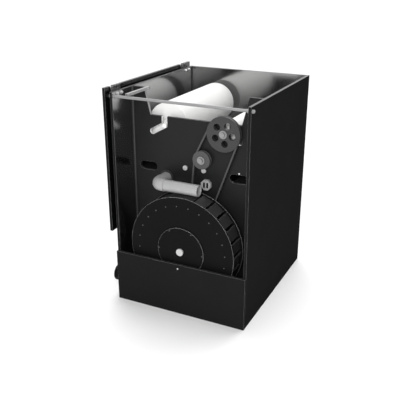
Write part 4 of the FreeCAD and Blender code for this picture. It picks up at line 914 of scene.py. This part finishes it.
@dataclass
class ScrewHeads:
    """Domed screw heads with a cross recess, set on the places of the plain ones."""

    radius: float = 0.003
    height: float = 0.0026
    recess_arm: float = 0.5
    recess_half: float = 0.13
    recess_depth: float = 0.45
    dome: tuple[tuple[float, float], ...] = ((0.66, 0.97), (0.88, 0.72), (1.0, 0.2), (1.0, -0.02))
    paddle_ring: float = 0.207
    paddle_screws: int = 24
    paddle_phase: float = 5.0
    hub_ring: float = 0.104
    hub_screws: int = 6

    def template(self) -> bpy.types.Object:
        """One head that stands on the XY plane.

        Returns:
            The head, which is removed after use.
        """
        arm, half = self.recess_arm * self.radius, self.recess_half * self.radius
        floor = self.height - self.recess_depth * self.height
        cross = [(arm, -half), (arm, half), (half, half), (half, arm), (-half, arm), (-half, half),
                 (-arm, half), (-arm, -half), (-half, -half), (-half, -arm), (half, -arm), (half, -half)]
        rings = [[(x, y, level) for x, y in cross] for level in (floor, self.height)]
        sides = len(cross)
        step = 360 / sides
        for share, rise in self.dome:
            ring = []
            for k in range(sides):
                turn = math.radians(step * k - step / 2)
                ring.append((share * self.radius * math.cos(turn), share * self.radius * math.sin(turn),
                             rise * self.height))
            rings.append(ring)
        shape = bmesh.new()
        rows = [[shape.verts.new(corner) for corner in ring] for ring in rings]
        shape.faces.new(rows[0])
        for inner, outer in zip(rows, rows[1:]):
            for k in range(sides):
                after = (k + 1) % sides
                shape.faces.new((inner[k], outer[k], outer[after], inner[after]))
        shape.faces.new(rows[-1][::-1])
        bmesh.ops.recalc_face_normals(shape, faces=shape.faces)
        mesh = bpy.data.meshes.new("screw_head")
        shape.to_mesh(mesh)
        shape.free()
        return new_piece("screw_head", mesh)

    def ring(self, centre: Vector, radius: float, count: int, phase: float) -> list[Point]:
        """Points round an axis along Y.

        Args:
            centre: Middle of the ring.
            radius: Radius of the ring.
            count: Number of points.
            phase: Angle of the first point, in degrees.

        Returns:
            The points.
        """
        points = []
        for k in range(count):
            turn = math.radians(phase + 360 * k / count)
            points.append((centre.x + radius * math.cos(turn), centre.y,
                           centre.z + radius * math.sin(turn)))
        return points

    def dress(self) -> None:
        """Set the heads on the wheel's discs and hub plate."""
        tree = screw_head_tree()
        head = self.template()
        axis = joint_axis("wheel_spin")
        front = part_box("wheel_front_disc")[0].y
        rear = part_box("wheel_rear_disc")[1].y
        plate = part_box("wheel_hub_plate")[0].y
        paddles = (self.paddle_ring, self.paddle_screws, self.paddle_phase)
        rings = (
            ("front_paddle_screws", front, *paddles, math.pi / 2),
            ("rear_paddle_screws", rear, *paddles, -math.pi / 2),
            ("hub_screws", plate, self.hub_ring, self.hub_screws, 0.0, math.pi / 2),
        )
        for seed, (node, y, radius, count, phase, tilt) in enumerate(rings):
            places = self.ring(Vector((axis.x, y, axis.z)), radius, count, phase)
            piece = grow(node + "_heads", tree, {"Head": head, "Facing": (tilt, 0.0, 0.0), "Seed": seed},
                         FINISHES[Slot.SCREW], places)
            keep(piece, Body.WHEEL, Slot.SCREW, node)
        bpy.data.objects.remove(head)


@dataclass
class Solids:
    """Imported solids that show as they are, with the finish of their slot."""

    facing: float = 0.9
    notch_facing: float = 0.7
    notch_rise: float = 0.05
    cut_facing: float = 0.1
    slot_below: float = 0.05
    slot_above: float = 0.035
    pocket_reach: float = 0.014
    pocket_depth: float = 0.009
    pocket_skin: float = 0.0005

    def paint(self, name: str, finish: Finish, chosen: Callable[[bpy.types.MeshPolygon], bool]) -> None:
        """Give some faces of a solid a finish of their own.

        Args:
            name: Name of the solid.
            finish: Finish of the chosen faces.
            chosen: Says whether a face is chosen.
        """
        mesh = frame["nodes"][name].data
        mesh.materials.append(finish.material())
        last = len(mesh.materials) - 1
        for face in mesh.polygons:
            if chosen(face):
                face.material_index = last

    def paint_sheets(self) -> None:
        """Paint the dull sides, the cut edges, the lid's glossy side, a painted highlight on the notch and painted
        light on the sides of the axle slots.
        """
        for name, side in POLISHED_SIDE.items():
            self.paint(name, FINISHES[Slot.SATIN],
                       lambda face, side=side: face.normal.dot(side) < self.facing)
        for name in EDGED_SHEETS:
            self.paint(name, CUT_EDGE, lambda face: face.normal.z > self.facing)
        self.paint("lid", LID_GLOSS, lambda face: face.normal.x > self.facing)
        level = joint_axis("takeup_spin").z
        # Painted highlight on the notch's slanted edge
        self.paint("divider_panel", NOTCH_HIGHLIGHT, lambda face: (
            face.normal.x > self.notch_facing
            and face.normal.z > self.notch_rise
            and face.center.z > level))
        # Painted light on the sides of the axle slots
        self.paint("divider_panel", SLOT_LIGHT, lambda face: (
            abs(face.normal.y) < self.cut_facing
            and level - self.slot_below < face.center.z < level + self.slot_above))

    def paint_pocket_shade(self) -> None:
        """Paint shade into the two grip pockets of the port plug."""
        low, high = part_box("port_fitting")
        middle = (low + high) / 2
        self.paint("port_fitting", POCKET_SHADE, lambda face: (
            abs(face.center.x - middle.x) < self.pocket_reach
            and abs(face.center.z - middle.z) < self.pocket_reach
            and low.y + self.pocket_skin < face.center.y < low.y + self.pocket_depth))

    def dress(self) -> None:
        """Give every solid its finish, and some faces their own."""
        for part in frame["record"]["subparts"]:
            node = frame["nodes"][part["node"]]
            finish = OWN_FINISH.get(part["node"], FINISHES[Slot(part["material_slot"])])
            node.data.materials.clear()
            node.data.materials.append(finish.material())
            log.info("%s gets %s", node.name, finish.name)
        self.paint_sheets()
        self.paint_pocket_shade()


@dataclass
class Studio:
    """Floor, soft light and the camera of the photograph."""

    azimuth: float = 26.08
    elevation: float = 21.66
    place: Point = (1.1151, -2.4346, 1.4721)
    lens: float = 54.91
    sensor: float = 36.0
    floor_size: float = 60.0
    floor_tone: float = 0.95
    floor_glow: float = 0.03
    floor_roughness: float = 0.9
    floor_specular: float = 0.1
    sky: float = 0.38
    sun: float = 2.6
    sun_softness: float = 60.0
    sun_from: Point = (-0.12, 0.6, 1.0)
    front_place: Point = (0.9, -3.0, 2.2)
    front_aim: Point = (0.0, 0.0, 0.7)
    front_size: float = 1.4
    front_watts: float = 70.0

    def camera(self) -> None:
        """Put the camera where the photograph was taken."""
        data = bpy.data.cameras.new("camera")
        data.lens = self.lens
        data.sensor_width = self.sensor
        camera = bpy.data.objects.new("camera", data)
        bpy.context.scene.collection.objects.link(camera)
        turn, rise = math.radians(self.azimuth), math.radians(self.elevation)
        level = math.cos(rise)
        ahead = Vector((-math.sin(turn) * level, math.cos(turn) * level, -math.sin(rise)))
        camera.location = self.place
        camera.rotation_euler = ahead.to_track_quat("-Z", "Y").to_euler()
        bpy.context.scene.camera = camera

    def seen(self, board: NodeBoard) -> bpy.types.NodeSocket:
        """Mask of the rays that look at the backdrop: straight, mirrored or through glass.

        Args:
            board: Board of the shader that asks.

        Returns:
            The mask.
        """
        rays = board.add("ShaderNodeLightPath")
        straight = board.math("MAXIMUM", rays.outputs["Is Camera Ray"], rays.outputs["Is Glossy Ray"])
        return board.math("MAXIMUM", straight, rays.outputs["Is Transmission Ray"])

    def floor(self) -> None:
        """Lay a pale floor that keeps the shadow."""
        half = self.floor_size / 2
        mesh = bpy.data.meshes.new("floor")
        corners = [(-half, -half, 0), (half, -half, 0), (half, half, 0), (-half, half, 0)]
        mesh.from_pydata(corners, [], [(0, 1, 2, 3)])
        floor = new_piece("floor", mesh)
        material = bpy.data.materials.new("pale_floor")
        material.use_nodes = True
        board = NodeBoard(material.node_tree)
        surface = material.node_tree.nodes["Principled BSDF"]
        surface.inputs["Base Color"].default_value = (*[self.floor_tone] * 3, 1.0)
        surface.inputs["Roughness"].default_value = self.floor_roughness
        surface.inputs["Specular IOR Level"].default_value = self.floor_specular
        surface.inputs["Emission Color"].default_value = (1.0, 1.0, 1.0, 1.0)
        glow = board.math("MULTIPLY", self.seen(board), self.floor_glow)
        board.join(glow, surface.inputs["Emission Strength"])
        mesh.materials.append(material)

    def hang(self, data: bpy.types.Light, place: Point, aim: Point) -> None:
        """Hang a lamp.

        Args:
            data: The lamp's light.
            place: Where it hangs.
            aim: Where it points.
        """
        lamp = bpy.data.objects.new(data.name, data)
        bpy.context.scene.collection.objects.link(lamp)
        lamp.location = place
        lamp.rotation_euler = (Vector(aim) - Vector(place)).to_track_quat("-Z", "Y").to_euler()

    def lamps(self) -> None:
        """Hang a wide soft light overhead, even over the whole floor, and a square softbox in front."""
        overhead = bpy.data.lights.new("overhead", "SUN")
        overhead.energy = self.sun
        overhead.angle = math.radians(self.sun_softness)
        self.hang(overhead, self.sun_from, (0.0, 0.0, 0.0))
        softbox = bpy.data.lights.new("front_softbox", "AREA")
        softbox.size = self.front_size
        softbox.energy = self.front_watts
        self.hang(softbox, self.front_place, self.front_aim)

    def build(self) -> None:
        """Set up the whole studio."""
        scene = bpy.context.scene
        scene.view_settings.view_transform = "Standard"
        world = bpy.data.worlds.new("studio")
        scene.world = world
        world.use_nodes = True
        board = NodeBoard(world.node_tree)
        level = board.spread(self.seen(board), self.sky, 1.0)
        backdrop = world.node_tree.nodes["Background"]
        backdrop.inputs["Color"].default_value = (1.0, 1.0, 1.0, 1.0)
        board.join(level, backdrop.inputs["Strength"])
        self.floor()
        self.lamps()
        self.camera()


def main() -> None:
    """Build the looks in order."""
    logging.basicConfig(level=logging.INFO, format="%(message)s")
    Studio().build()
    Solids().dress()
    supply = FleeceRoll("supply_roll_fleece", "supply_fleece", "supply_core", Body.SUPPLY, "supply_spin")
    takeup = FleeceRoll("takeup_roll_fleece", "takeup_fleece", "takeup_core", Body.TAKEUP, "takeup_spin")
    web = FleeceWeb(supply, takeup)
    wound = wound_fleece_tree()
    for roll, end in zip((supply, takeup), web.ends()):
        roll.dress(wound, end)
    web.dress()
    WeldSeams().dress()
    ScrewHeads().dress()


if __name__ == "__main__":
    main()
